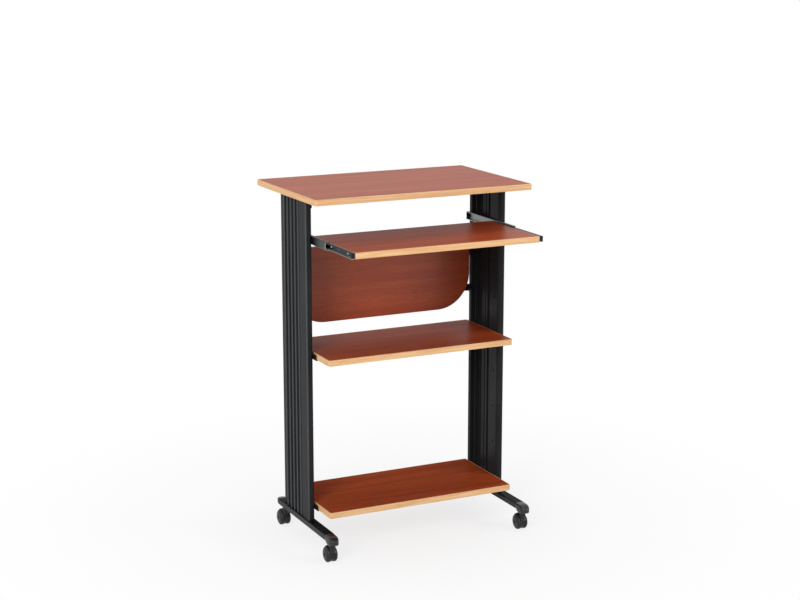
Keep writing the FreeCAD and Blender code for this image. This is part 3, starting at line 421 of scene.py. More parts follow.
def laminated(tree, colours, gloss):
    """Cherry laminate: long streaks along the boards, fine fibres and short dark pores."""
    broad = tree.noise(per_metre=(0.9, 5, 5), detail=2.0, distortion=0.4)
    figure = tree.noise(per_metre=(1.6, 40, 40), detail=4.0, distortion=0.8)
    fibre = tree.noise(per_metre=(9, 430, 430), detail=3.0)
    pores = tree.step(tree.noise(per_metre=(42, 1150, 1150), detail=1.0), low=0.6, high=0.7)
    streaks = tree.step(0.3 * broad + 0.4 * figure + 0.3 * fibre, low=0.36, high=0.64)
    toned = tree.between(streaks, colours.laminate_dark, colours.laminate_light)
    return tree.surface(
        base_color=tree.between(0.5 * pores, toned, colours.laminate_pore),
        roughness=0.34 + 0.1 * fibre,
        gloss=gloss,
        normal=tree.bump(fibre - 0.6 * pores, depth=0.1 * MM, strength=0.25),
    )


@finish
def board_laminate(tree, colours):
    return laminated(tree, colours, gloss=0.1)


@finish
def shelf_laminate(tree, colours):
    return laminated(tree, colours, gloss=0.03)


@finish
def bottom_laminate(tree, colours):
    return laminated(tree, colours, gloss=0.002)


@finish
def panel_laminate(tree, colours):
    return laminated(tree, colours, gloss=0.42)


def banded(tree, colours, grey_ends=None):
    """Pale wood band with thin streaks along the board's edge, or a flat grey-brown where it is masked."""
    figure = tree.noise(per_metre=(5, 5, 190), detail=3.0, distortion=0.7)
    fibre = tree.noise(per_metre=(26, 26, 900), detail=2.0)
    streaks = tree.step(0.65 * figure + 0.35 * fibre, low=0.36, high=0.66)
    wood = tree.between(streaks, colours.band_dark, colours.band_light)
    return tree.surface(
        base_color=tree.between(grey_ends, wood, colours.end_tape) if grey_ends else wood,
        roughness=0.4 + 0.1 * fibre,
        gloss=0.2,
        normal=tree.bump(fibre, depth=0.1 * MM, strength=0.2),
    )


@finish
def edge_band(tree, colours):
    return banded(tree, colours)


@finish
def keyboard_band(tree, colours):
    """The band of the keyboard shelf, flat grey-brown at the ends that carry the slides."""
    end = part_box("keyboard_shelf_edge_band")[1].x
    return banded(tree, colours, tree.near(tree.aside(), end, GREY_END_START))


def coated(tree, colour, roughness, gloss, rubbed=None, sheen_and_wear_mask=None):
    """Powder coat: a fine orange peel and faint clouds, and a lighter colour over a mask, for painted
    highlights along edges with some wear.
    """
    peel = tree.noise(per_metre=(620, 620, 620), detail=2.0)
    cloud = tree.noise(per_metre=(14, 14, 9), detail=2.0)
    mottled = tree.step(0.45 * cloud + 0.55 * peel, low=0.32, high=0.68)
    coat = tree.shaded(mottled, colour, low=0.74, high=1.26)
    return tree.surface(
        base_color=tree.between(sheen_and_wear_mask, coat, rubbed) if rubbed else coat,
        roughness=roughness + 0.1 * peel,
        gloss=gloss,
        normal=tree.bump(peel, depth=0.14 * MM, strength=0.3),
    )


@finish
def post_coat(tree, colours):
    """The coat of the posts, with a painted highlight and some wear along the front posts' outer corner."""
    low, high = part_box("right_front_post")
    sheen_and_wear_mask = tree.near(tree.aside() - tree.along("Y"), high.x - low.y, CORNER_SHEEN_AND_WEAR)
    return coated(tree, colours.charcoal, roughness=0.3, gloss=0.04, rubbed=colours.rubbed, sheen_and_wear_mask=sheen_and_wear_mask)


@finish
def flute_coat(tree, colours):
    """The coat of the fluted panels, with a painted highlight and some wear along the crests of the flutes.
    """
    sheen_and_wear_mask = tree.near(tree.aside(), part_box("right_fluted_panel")[1].x, CREST_SHEEN_AND_WEAR)
    return coated(tree, colours.charcoal, roughness=0.3, gloss=0.05, rubbed=colours.rubbed, sheen_and_wear_mask=sheen_and_wear_mask)


@finish
def bracket_coat(tree, colours):
    return coated(tree, colours.bracket_black, roughness=0.44, gloss=0.16)


@finish
def foot_coat(tree, colours):
    """The coat of the foot bars, with painted sheen along their sides."""
    low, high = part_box("right_foot_bar")
    off_middle = tree.size_of(tree.aside() - middle_of((low, high)).x)
    sheen_and_wear_mask = FOOT_SHEEN_SHARE * tree.near(off_middle, (high.x - low.x) / 2, FOOT_SHEEN_EDGE)
    return coated(tree, colours.foot_black, roughness=0.3, gloss=0.02, rubbed=colours.rubbed, sheen_and_wear_mask=sheen_and_wear_mask)


def moulded(tree, colour, roughness, gloss):
    """Moulded plastic: a fine spark grain with a faint sheen that differs from place to place."""
    grain = tree.noise(per_metre=(1400, 1400, 1400), detail=1.0)
    handled = tree.noise(per_metre=(36, 36, 36), detail=3.0)
    return tree.surface(
        base_color=tree.shaded(handled, colour, low=0.8, high=1.2),
        roughness=roughness + 0.14 * handled,
        gloss=gloss,
        normal=tree.bump(grain, depth=0.06 * MM, strength=0.3),
    )


@finish
def cap_plastic(tree, colours):
    return moulded(tree, colours.cap_black, roughness=0.2, gloss=0.4)


@finish
def slide_plastic(tree, colours):
    return moulded(tree, colours.moulded_black, roughness=0.34, gloss=0.2)


@finish
def hood_plastic(tree, colours):
    return moulded(tree, colours.hood_nylon, roughness=0.34, gloss=0.3)


@finish
def wheel_plastic(tree, colours):
    return moulded(tree, colours.nylon, roughness=0.36, gloss=0.3)


def rolled_steel(tree, colour, roughness, grain, coats=()):
    """Drawn or rolled metal with fine scratches, and coats over it, each a mask and a colour."""
    scratches = tree.noise(per_metre=grain, detail=3.0)
    toned = tree.shaded(scratches, colour, low=0.78, high=1.0)
    for mask, coat in coats:
        toned = tree.between(mask, toned, coat)
    return tree.surface(
        base_color=toned,
        metallic=1.0,
        roughness=roughness + 0.16 * scratches,
        normal=tree.bump(scratches, depth=0.05 * MM, strength=0.2),
    )


def along_roll(tree, box):
    """A mask for a painted highlight on the rolled edge along the bottom of a slide member."""
    rim = box[0].z + ROLL_RIM
    return 1 - tree.rise(tree.along("Z"), rim, rim + ROLL_FADE)


def round_notch(tree, box):
    """A mask for a painted highlight round the notch in the front end of a slide member."""
    notch = (0, box[0].y, middle_of(box).z)
    flat = tree.node("Mapping", {}, {"Vector": tree.coordinates(), "Scale": (0, 1, 1)})
    away = tree.node("VectorMath", {"operation": "DISTANCE"}, {0: flat, 1: notch}, "Value")
    rim = bpy.context.scene.desk_hardware.notch_radius + NOTCH_RIM
    return 1 - tree.rise(away, rim, rim + NOTCH_FADE)


@finish
def slide_zinc(tree, colours):
    """Zinc with painted shade outside, and painted highlights along the lower roll and round the notch."""
    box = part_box("right_slide_outer_member")
    coats = (
        (tree.near(tree.aside(), box[1].x, SLIDE_OUTSIDE), colours.dull_zinc),
        (along_roll(tree, box), colours.bright_steel),
        (round_notch(tree, box), colours.bright_steel),
    )
    return rolled_steel(tree, colours.zinc, roughness=0.34, grain=SLIDE_GRAIN, coats=coats)


@finish
def slide_blacking(tree, colours):
    """Dark finish with a painted highlight along the lower roll."""
    coats = ((along_roll(tree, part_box("right_slide_inner_member")), colours.bright_steel),)
    return rolled_steel(tree, colours.slide_black, roughness=0.3, grain=SLIDE_GRAIN, coats=coats)


@finish
def bolt_blacking(tree, colours):
    return rolled_steel(tree, colours.bolt_black, roughness=0.34, grain=(900, 900, 900))


@finish
def bright_steel(tree, colours):
    return rolled_steel(tree, colours.bright_steel, roughness=0.24, grain=(600, 600, 600))


def dress(material, *nodes):
    """Give CAD nodes their finish."""
    for node in nodes:
        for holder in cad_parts[node].material_slots:
            holder.material = material


# Modelling by hand: shared moves


MODES = {"verts": "VERT", "edges": "EDGE", "faces": "FACE"}


def hold(*pieces):
    """Make pieces the only ones that the next move acts on, the first of them the active one."""
    bpy.ops.object.select_all(action="DESELECT")
    for piece in pieces:
        piece.select_set(True)
    bpy.context.view_layer.objects.active = pieces[0]


def open_piece(name):
    """Name a new primitive, settle it at the origin and open it for modelling, selected all over."""
    piece = bpy.context.object
    piece.name = name
    bpy.ops.object.transform_apply(location=True, rotation=True, scale=True)
    bpy.ops.object.mode_set(mode="EDIT")
    bpy.ops.mesh.select_all(action="SELECT")
    return piece


def close_piece(piece):
    """Merge what meets, turn the faces outwards and leave modelling."""
    pick("verts")
    bpy.ops.mesh.remove_doubles(threshold=HAIR)
    bpy.ops.mesh.normals_make_consistent(inside=False)
    bpy.ops.object.mode_set(mode="OBJECT")
    return piece


def pick(kind, wanted=lambda item: True):
    """Select the verts, edges or faces of the open piece that pass a test."""
    bpy.ops.mesh.select_mode(type=MODES[kind])
    bpy.ops.mesh.select_all(action="DESELECT")
    data = bpy.context.object.data
    mesh = bmesh.from_edit_mesh(data)
    for item in getattr(mesh, kind):
        if wanted(item):
            item.select_set(True)
    mesh.select_flush_mode()
    bmesh.update_edit_mesh(data)


def extrude(step):
    bpy.ops.mesh.extrude_region_move(TRANSFORM_OT_translate={"value": step})


def draw(name, corners, closed=False):
    """Draw a wire from one vertex through corners, each a point and how far back it is rounded."""
    bpy.ops.mesh.primitive_plane_add(size=MM)
    piece = open_piece(name)
    bpy.ops.mesh.merge(type="CENTER")
    points = [point for point, _ in corners]
    bpy.ops.transform.translate(value=points[0])
    for before, after in zip(points, points[1:]):
        extrude(after - before)
    if closed:
        pick("verts", lambda vert: len(vert.link_edges) == 1)
        bpy.ops.mesh.edge_face_add()
    for point, cut in corners:
        if cut:
            pick("verts", lambda vert: (vert.co - point).length < HAIR)
            bpy.ops.mesh.bevel(offset=cut, segments=ROUND_STEPS, affect="VERTICES")
    pick("verts")
    return piece


def turn(name, centre, axis, profile, steps, closed=False):
    """Turn a profile about an axis. Its corners are places along the axis, radii and roundings."""
    radial = axis.orthogonal().normalized()
    corners = [(centre + axis * along + radial * radius, cut) for along, radius, cut in profile]
    piece = draw(name, corners, closed)
    bpy.ops.mesh.spin(steps=steps, angle=FULL_TURN, center=centre, axis=axis)
    return close_piece(piece)


def slab(name, outline, depth):
    """A solid plate: a closed outline, filled and drawn out by its depth."""
    piece = draw(name, outline, closed=True)
    bpy.ops.mesh.edge_face_add()
    extrude(depth)
    return close_piece(piece)


def fold_sheet(name, section, sweep, thickness, corner_cut=0.0):
    """A bent sheet: its section, drawn out along the sweep and thickened, with its free corners rounded."""
    piece = draw(name, section)
    extrude(sweep)
    if corner_cut:
        pick("verts", lambda vert: len(vert.link_edges) == 2)
        bpy.ops.mesh.bevel(offset=corner_cut, segments=SHEET_CORNER_STEPS, affect="VERTICES")
    return thicken(close_piece(piece), thickness)


def modify(piece, kind, **settings):
    """Add a modifier to a piece and apply it."""
    hold(piece)
    modifier = piece.modifiers.new(kind.title(), kind)
    for key, value in settings.items():
        setattr(modifier, key, value)
    bpy.ops.object.modifier_apply(modifier=modifier.name)
    return piece


def thicken(piece, thickness):
    """Give a sheet its thickness, half of it to each side."""
    return modify(piece, "SOLIDIFY", thickness=thickness, offset=0, use_even_offset=True)


def soften(piece, width, segments):
    """Break the sharp edges of a piece."""
    return modify(piece, "BEVEL", width=width, segments=segments, limit_method="ANGLE", angle_limit=SHARP)


def carve(piece, tool, operation="DIFFERENCE"):
    """Cut a tool out of a piece, or join it on, and put the tool away."""
    modify(piece, "BOOLEAN", object=tool, operation=operation, solver="EXACT")
    bpy.data.objects.remove(tool)
    return piece


def drill(piece, holes, radius, depth, stretch=None):
    """Cut round holes, each a middle and an axis, or slots if they are stretched along a step."""
    if not holes:
        return piece
    bits = []
    for middle, axis in holes:
        turned = axis.to_track_quat("Z", "Y").to_euler()
        bpy.ops.mesh.primitive_cylinder_add(
            vertices=HOLE_SIDES, radius=radius, depth=depth, location=middle, rotation=turned
        )
        bit = open_piece("bit")
        if stretch:
            pick("verts", lambda vert: (vert.co - middle).dot(stretch) > HAIR * HAIR)
            bpy.ops.transform.translate(value=stretch)
        bits.append(close_piece(bit))
    return carve(piece, join(bits, "bits"))


def join(pieces, name):
    hold(*pieces)
    if len(pieces) > 1:
        bpy.ops.object.join()
    pieces[0].name = name
    return pieces[0]


def copy_to(master, places, name):
    """Copy a master to places, each a matrix, and join the copies to one piece. The master is put away."""
    copies = []
    for matrix in places:
        hold(master)
        bpy.ops.object.duplicate()
        copies.append(bpy.context.object)
        copies[-1].matrix_world = matrix
        bpy.ops.object.transform_apply(location=True, rotation=True, scale=True)
    bpy.data.objects.remove(master)
    return join(copies, name)


def fit(piece, body, slot, material, *nodes):
    """Shade a finished piece, give it its finish and set it on its body in place of CAD nodes."""
    hold(piece)
    bpy.ops.object.shade_smooth_by_angle(angle=SHARP)
    piece.data.materials.clear()
    piece.data.materials.append(material)
    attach(piece, body)
    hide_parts(*nodes)
    return piece


def solids(node):
    """The boxes of a node's separate solids, each its lowest and highest corner."""
    mesh = bmesh.new()
    mesh.from_mesh(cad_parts[node].data)
    bmesh.ops.remove_doubles(mesh, verts=mesh.verts, dist=HAIR)
    waiting, boxes = set(mesh.verts), []
    while waiting:
        front = [waiting.pop()]
        points = []
        while front:
            vert = front.pop()
            points.append(vert.co)
            near = {edge.other_vert(vert) for edge in vert.link_edges} & waiting
            waiting -= near
            front += near
        boxes.append(tuple(Vector(pick_end(axis) for axis in zip(*points)) for pick_end in (min, max)))
    mesh.free()
    return sorted(boxes, key=lambda box: tuple(round(number, 4) for number in box[0]))


def middle_of(box):
    return (box[0] + box[1]) / 2


def long_axis(box):
    """The axis along which a box is longest."""
    span = box[1] - box[0]
    return max((X, Y, Z), key=lambda axis: span.dot(axis))


def crossing(node, box):
    """The boxes of those of a node's solids that overlap a box."""
    low, high = box
    return [
        item for item in solids(node)
        if all(item[0][n] < high[n] and low[n] < item[1][n] for n in range(3))
    ]


# Operators


class StageOperator(bpy.types.Operator):
    """Set the floor, the soft studio light and the camera"""

    bl_idname = "desk.stage"
    bl_label = "Stage"

    def execute(self, context):
        stage = context.scene.desk_stage
        context.scene.view_settings.view_transform = "Standard"
        self.light_world(context.scene, stage)
        self.lay_floor(stage)
        for name in ("key", "fill", "top", "rim"):
            self.hang_lamp(name, *(getattr(stage, f"{name}_{what}") for what in ("place", "power", "size")))
        self.stand_camera(context.scene, stage)
        return {"FINISHED"}

    def seen_directly(self, tree):
        """1 where the camera, a mirror or glass sees the surface, and 0 for its light on other things."""
        path = tree.node("LightPath", {}, {}, "Is Camera Ray")
        seen = path.out("Is Glossy Ray") + path.out("Is Transmission Ray") + path
        return tree.sum("MINIMUM", seen, 1.0)

    def light_world(self, scene, stage):
        scene.world = bpy.data.worlds.new("studio")
        tree = ShaderTree(scene.world)
        seen = self.seen_directly(tree)
        strength = stage.world_level + (1 - stage.world_level) * seen
        shader = tree.node("Background", {}, {"Color": (1, 1, 1, 1), "Strength": strength})
        tree.node("OutputWorld", {}, {"Surface": shader})

    def lay_floor(self, stage):
        bpy.ops.mesh.primitive_plane_add(size=stage.floor_size)
        floor = bpy.context.object
        floor.name = "floor"
        tree = ShaderTree(bpy.data.materials.new("pale_floor"))
        matt = tree.node("BsdfDiffuse", {}, {"Color": as_colour(stage.floor_colour)})
        glow = tree.node("Emission", {}, {"Color": (1, 1, 1, 1), "Strength": 1.0})
        away = tree.node("VectorMath", {"operation": "LENGTH"}, {0: tree.coordinates()}, "Value")
        reach = {"Value": away, "From Max": stage.floor_fade, "To Min": stage.floor_glow}
        whiter = tree.node("MapRange", {"interpolation_type": "SMOOTHSTEP"}, reach)
        factor = whiter * self.seen_directly(tree)
        shader = tree.node("MixShader", {}, {0: factor, 1: matt, 2: glow})
        tree.node("OutputMaterial", {}, {"Surface": shader})
        floor.data.materials.append(tree.holder)

    def hang_lamp(self, name, where, watts, size):
        """A square soft lamp that faces the middle of the desk."""
        bpy.ops.object.light_add(type="AREA", location=where)
        lamp = bpy.context.object
        lamp.name = name + "_lamp"
        lamp.data.energy = watts
        lamp.data.size = size
        middle = (Vector(cad_box[0]) + Vector(cad_box[1])) / 2
        lamp.rotation_euler = (middle - Vector(where)).to_track_quat("-Z", "Y").to_euler()

    def stand_camera(self, scene, stage):
        bpy.ops.object.camera_add(location=stage.camera_place)
        camera = bpy.context.object
        camera.rotation_euler = (math.pi / 2 - stage.camera_pitch, 0, stage.camera_yaw)
        camera.data.lens = stage.camera_lens
        scene.camera = camera


class BoardsOperator(bpy.types.Operator):
    """Finish the boards in cherry laminate and their edges with a pale wood band"""

    bl_idname = "desk.boards"
    bl_label = "Boards"

    def execute(self, context):
        dress(panel_laminate(), "modesty_panel")
        dress(board_laminate(), "worktop_board", "keyboard_shelf_board")
        dress(shelf_laminate(), "middle_shelf_board")
        dress(bottom_laminate(), "bottom_shelf_board")
        dress(edge_band(), "worktop_edge_band", "middle_shelf_edge_band", "bottom_shelf_edge_band")
        dress(keyboard_band(), "keyboard_shelf_edge_band")
        return {"FINISHED"}


class UprightsOperator(bpy.types.Operator):
    """Powder-coat the posts and the fluted panels of the uprights, and finish their base plates"""

    bl_idname = "desk.uprights"
    bl_label = "Uprights"

    def execute(self, context):
        for side in SIDES:
            dress(post_coat(), f"{side}_front_post", f"{side}_rear_post")
            dress(flute_coat(), f"{side}_fluted_panel")
        dress(bright_steel(), "foot_base_plates")
        return {"FINISHED"}


# Brackets and fasteners


def outer_first(box):
    """A box's two x places, the one further from the middle plane first."""
    return sorted((box[0].x, box[1].x), key=abs, reverse=True)


class BracketsOperator(bpy.types.Operator):
    """Bend the brackets of the worktop, the shelves and the modesty panel from sheet"""

    bl_idname = "desk.brackets"
    bl_label = "Brackets"

    def execute(self, context):
        sections = {
            "worktop_brackets": self.hanging,
            "middle_shelf_brackets": self.standing,
            "bottom_shelf_brackets": self.standing,
            "modesty_brackets": self.upright,
        }
        for node, section_of in sections.items():
            self.make_set(node, section_of, context.scene.desk_hardware)
        return {"FINISHED"}

    def make_set(self, node, section_of, sizes):
        fasteners = {"bracket_bolts": sizes.bolt_hole, "board_screws": sizes.screw_hole}
        brackets = []
        for box in solids(node):
            points, sweep = section_of(box, sizes.bracket_sheet / 2)
            section = [(Vector(point), cut) for point, cut in zip(points, (0, sizes.fold_radius, 0))]
            bracket = fold_sheet("bracket", section, sweep, sizes.bracket_sheet, sizes.bracket_corner)
            for fastener, radius in fasteners.items():
                holes = [(middle_of(item), long_axis(item)) for item in crossing(fastener, box)]
                drill(bracket, holes, radius, sizes.drill_depth)
            brackets.append(soften(bracket, sizes.sheet_edge, SHEET_EDGE_STEPS))
        piece = join(brackets, node.replace("brackets", "angle_set"))
        fit(piece, "frame", "bracket_steel", bracket_coat(), node)

    def hanging(self, box, half):
        """The section of a bracket below the worktop, whose upright arm hangs down."""
        return self.level_arm(box, half, box[1].z - half, box[0].z)

    def standing(self, box, half):
        """The section of a bracket below a shelf, whose upright arm stands up."""
        return self.level_arm(box, half, box[0].z + half, box[1].z)

    def level_arm(self, box, half, level, end):
        """A section of one level arm and one that ends at a height, and the way it is drawn out."""
        wall, tip = self.arms(box, half)
        rear = box[1].y
        return ((wall, rear, end), (wall, rear, level), (tip, rear, level)), Vector((0, box[0].y - rear, 0))

    def upright(self, box, half):
        """The section of a bracket at the back of an upright, seen from above."""
        wall, tip = self.arms(box, half)
        (_, front, low), (_, rear, high) = box
        back = rear - half
        return ((wall, front, low), (wall, back, low), (tip, back, low)), Vector((0, 0, high - low))

    def arms(self, box, half):
        """Where the arm at the upright and the tip of the other arm lie across the desk."""
        outer, tip = outer_first(box)
        return outer - math.copysign(half, outer), tip


class FastenersOperator(bpy.types.Operator):
    """Turn the button-head bolts and the cross-head screws and set them in their holes"""

    bl_idname = "desk.fasteners"
    bl_label = "Fasteners"

    def execute(self, context):
        sizes = context.scene.desk_hardware
        black, bright = bolt_blacking(), bright_steel()
        rows = (
            ("bracket_bolts", "frame", "bolt_steel", black, self.bolt, sizes.bolt_head),
            ("slide_bolts", "frame", "bolt_steel", black, self.bolt, sizes.bolt_head),
            ("foot_bolts", "frame", "bolt_steel", black, self.bolt, sizes.foot_bolt_head),
            ("board_screws", "frame", "screw_steel", bright, self.screw, sizes.screw_head),
            ("slide_screws", "keyboard_shelf", "screw_steel", bright, self.screw, sizes.screw_head),
        )
        for node, body, slot, material, make, tall in rows:
            boxes = solids(node)
            name = node.replace("bolts", "button_heads").replace("screws", "pan_heads")
            places = [self.pointing(box, outwards=node == "slide_screws") for box in boxes]
            fit(copy_to(make(sizes, boxes[0], tall), places, name), body, slot, material, node)
        return {"FINISHED"}

    def pointing(self, box, outwards):
        """The place of a fastener: its head's end, with its axis along the shank.

        Heads of fasteners that lie across the desk face outwards or inwards, the others down or to the rear.
        """
        axis = long_axis(box)
        middle = middle_of(box)
        if axis == X:
            way = math.copysign(1, -middle.x if outwards else middle.x)
        else:
            way = 1 if axis == Z else -1
        shank = axis * way
        half = (box[1] - box[0]).dot(axis) / 2
        turned = shank.to_track_quat("X", "Z").to_matrix().to_4x4()
        return Matrix.Translation(middle - shank * half) @ turned

    def bolt(self, sizes, box, tall):
        """A bolt with a hexagon socket."""
        shank, cut = sizes.bolt_shank, sizes.edge_break
        piece = self.blank("bolt", box, tall, sizes.head_dome, shank, 0, cut, BOLT_STEPS)
        depth = sizes.bolt_socket_depth * 2
        bpy.ops.mesh.primitive_cylinder_add(
            vertices=6, radius=sizes.bolt_socket, depth=depth, rotation=(0, math.pi / 2, 0)
        )
        return carve(piece, close_piece(open_piece("key")))

    def screw(self, sizes, box, tall):
        """A screw with a cross recess and a point twice as long as its shank's radius."""
        shank, reach, thick = sizes.screw_shank, sizes.cross_reach, sizes.cross_width
        piece = self.blank("screw", box, tall, sizes.head_dome, shank, shank * 2, 0, SCREW_STEPS)
        for across in ((reach, thick), (thick, reach)):
            bpy.ops.mesh.primitive_cube_add(size=1)
            blade = open_piece("blade")
            bpy.ops.transform.resize(value=(sizes.cross_depth * 2, *across), center_override=(0, 0, 0))
            carve(piece, close_piece(blade))
        return piece

    def blank(self, name, box, tall, dome_share, shank, point, cut, steps):
        """A domed head and a shank along X, the head's top at the origin, with a point or a rounded end."""
        spans = sorted(box[1] - box[0])
        long, head = spans[2], spans[0] / 2
        dome = tall * dome_share
        profile = [
            (0, 0, 0), (0, head * dome_share, 0), (dome, head, dome / 2), (tall, head, 0),
            (tall, shank, 0), (long - point, shank, cut), (long, 0, 0),
        ]
        return turn(name, Vector(), X, profile, steps)


# Slides


class SlidesOperator(bpy.types.Operator):
    """Roll the slide members of the keyboard shelf and mould their plugs and stops"""

    bl_idname = "desk.slides"
    bl_label = "Slides"

    def execute(self, context):
        sizes = context.scene.desk_hardware
        for side in SIDES:
            self.roll_outer(side, sizes)
            self.roll_inner(side, sizes)
            dress(slide_plastic(), f"{side}_ball_retainers")
            dress(bright_steel(), f"{side}_slide_balls")
        self.mould("slide_rear_stops", "slide_bumpers", "frame", sizes)
        self.mould("slide_front_plugs", "slide_nose_plugs", "keyboard_shelf", sizes)
        return {"FINISHED"}

    def channel(self, name, box, web_x, tip_x, lip, sizes):
        """A C-shaped channel with rolled corners and lips that turn in."""
        half = sizes.slide_sheet / 2
        inward = math.copysign(half, tip_x - web_x)
        web, tip = web_x + inward, tip_x - inward
        low, high, rear = box[0].z + half, box[1].z - half, box[1].y
        roll, lip_roll = sizes.slide_roll, lip * sizes.lip_round
        outline = [
            (tip, high - lip, 0), (tip, high, lip_roll), (web, high, roll),
            (web, low, roll), (tip, low, lip_roll), (tip, low + lip, 0),
        ]
        section = [(Vector((x, rear, z)), cut) for x, z, cut in outline]
        return fold_sheet(name, section, Vector((0, box[0].y - rear, 0)), sizes.slide_sheet)

    def roll_outer(self, side, sizes):
        node = f"{side}_slide_outer_member"
        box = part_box(node)
        wall, tip = outer_first(box)
        piece = self.channel(f"{side}_slide_outer_channel", box, wall, tip, sizes.outer_lip, sizes)
        bolts = [(middle_of(item), X) for item in crossing("slide_bolts", box)]
        drill(piece, bolts, sizes.bolt_hole, sizes.drill_depth)
        notch = Vector((wall, box[0].y, middle_of(box).z))
        drill(piece, [(notch, X)], sizes.notch_radius, sizes.notch_bit)
        soften(piece, sizes.slide_edge, SHEET_EDGE_STEPS)
        fit(piece, "frame", "slide_steel", slide_zinc(), node)

    def roll_inner(self, side, sizes):
        node = f"{side}_slide_inner_member"
        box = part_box(node)
        tip, web = outer_first(box)
        piece = self.channel(f"{side}_slide_inner_channel", box, web, tip, sizes.inner_lip, sizes)
        screws = [middle_of(item).y for item in crossing("slide_screws", box)]
        windows = [box[0].y + sizes.window_inset + sizes.window_pitch * n for n in (0, 1)]
        slots = [along + sizes.slot_offset for along in windows]
        cuts = (
            (screws, sizes.screw_hole, None),
            (windows, sizes.window_radius, None),
            (slots, sizes.slot_radius, Y * sizes.slot_length),
        )
        for places, radius, stretch in cuts:
            holes = [(Vector((web, along, middle_of(box).z)), X) for along in places]
            drill(piece, holes, radius, sizes.drill_depth, stretch)
        soften(piece, sizes.slide_edge, SHEET_EDGE_STEPS)
        fit(piece, "keyboard_shelf", "slide_steel", slide_blacking(), node)

    def mould(self, node, name, body, sizes):
        """Moulded blocks with rounded edges and a sunken front."""
        blocks = []
        for low, high in solids(node):
            middle = (low + high) / 2
            bpy.ops.mesh.primitive_cube_add(size=1, location=middle)
            block = open_piece("block")
            bpy.ops.transform.resize(value=high - low, center_override=middle)
            pick("faces", lambda face: face.calc_center_median().y < low.y + HAIR)
            bpy.ops.mesh.inset(thickness=sizes.plug_rim)
            bpy.ops.transform.translate(value=Y * sizes.plug_dish)
            blocks.append(soften(close_piece(block), sizes.plug_edge, PLUG_EDGE_STEPS))
        fit(join(blocks, name), body, "slide_plastic", slide_plastic(), node)


# Feet and casters


# Stations of the foot caps from the seam to the tip: how far along, how wide, and the heights of the
# top and the underside between the cap's lowest place and the bar's top.
NOSE_SHARES = (
    (0.02, 1.0, 1.0, 0.355),
    (0.12, 1.0, 1.0, 0.33),
    (0.26, 1.0, 1.0, 0.06),
    (0.43, 1.0, 1.0, 0.0),
    (0.61, 0.99, 0.97, 0.0),
    (0.77, 0.91, 0.88, 0.04),
    (0.90, 0.73, 0.76, 0.14),
    (0.98, 0.48, 0.65, 0.27),
    (1.0, 0.2, 0.54, 0.38),
)
HEEL_SHARES = (
    (0.06, 1.0, 1.0, 0.0),
    (0.3, 0.99, 1.0, 0.0),
    (0.6, 0.86, 0.98, 0.02),
    (0.86, 0.56, 0.92, 0.08),
    (1.0, 0.2, 0.8, 0.2),
)


class FeetOperator(bpy.types.Operator):
    """Coat the foot bars and mould their drooping nose caps and rounded rear caps"""

    bl_idname = "desk.feet"
    bl_label = "Feet"

    def execute(self, context):
        sizes = context.scene.desk_hardware
        for side in SIDES:
            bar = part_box(f"{side}_foot_bar")
            dress(foot_coat(), f"{side}_foot_bar")
            nose, rear = f"{side}_foot_nose_cap", f"{side}_foot_rear_cap"
            self.grow_cap(f"{side}_foot_toe", nose, bar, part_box(nose)[0], bar[0].y, NOSE_SHARES, sizes)
            self.grow_cap(f"{side}_foot_heel", rear, bar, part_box(rear)[1], bar[1].y, HEEL_SHARES, sizes)
        dress(bright_steel(), "caster_stems")
        dress(cap_plastic(), "rear_stem_rings")
        return {"FINISHED"}

    def grow_cap(self, name, node, bar, end, seam, shares, sizes):
        """A cap that is extruded from the bar's section, step by step, narrowed and then smoothed."""
        middle = middle_of(bar)
        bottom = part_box(node)[0].z
        top = bar[1].z
        bar_width = bar[1].x - bar[0].x
        width, tall = bar_width, top - bar[0].z
        start = Vector((middle.x, seam, middle.z))
        bpy.ops.mesh.primitive_plane_add(size=1, location=start, rotation=(math.pi / 2, 0, 0))
        piece = open_piece(name)
        bpy.ops.transform.resize(value=(width, 1, tall), center_override=start)
        bpy.ops.mesh.bevel(offset=sizes.foot_corner, segments=FOOT_CORNER_STEPS, affect="VERTICES")
        pick("faces")
        for forward, wide, high, low in shares:
            step_top, step_low = bottom + (top - bottom) * high, bottom + (top - bottom) * low
            after = Vector((middle.x, seam + (end.y - seam) * forward, (step_top + step_low) / 2))
            extrude(after - start)
            scale = (wide * bar_width / width, 1, (step_top - step_low) / tall)
            bpy.ops.transform.resize(value=scale, center_override=after)
            start, width, tall = after, width * scale[0], tall * scale[2]
        pick("edges", lambda edge: all(abs(vert.co.y - seam) < HAIR for vert in edge.verts))
        bpy.ops.transform.edge_crease(value=1)
        close_piece(piece)
        modify(piece, "SUBSURF", levels=CAP_LEVELS, render_levels=CAP_LEVELS)
        fit(piece, "frame", "foot_plastic", cap_plastic(), node)


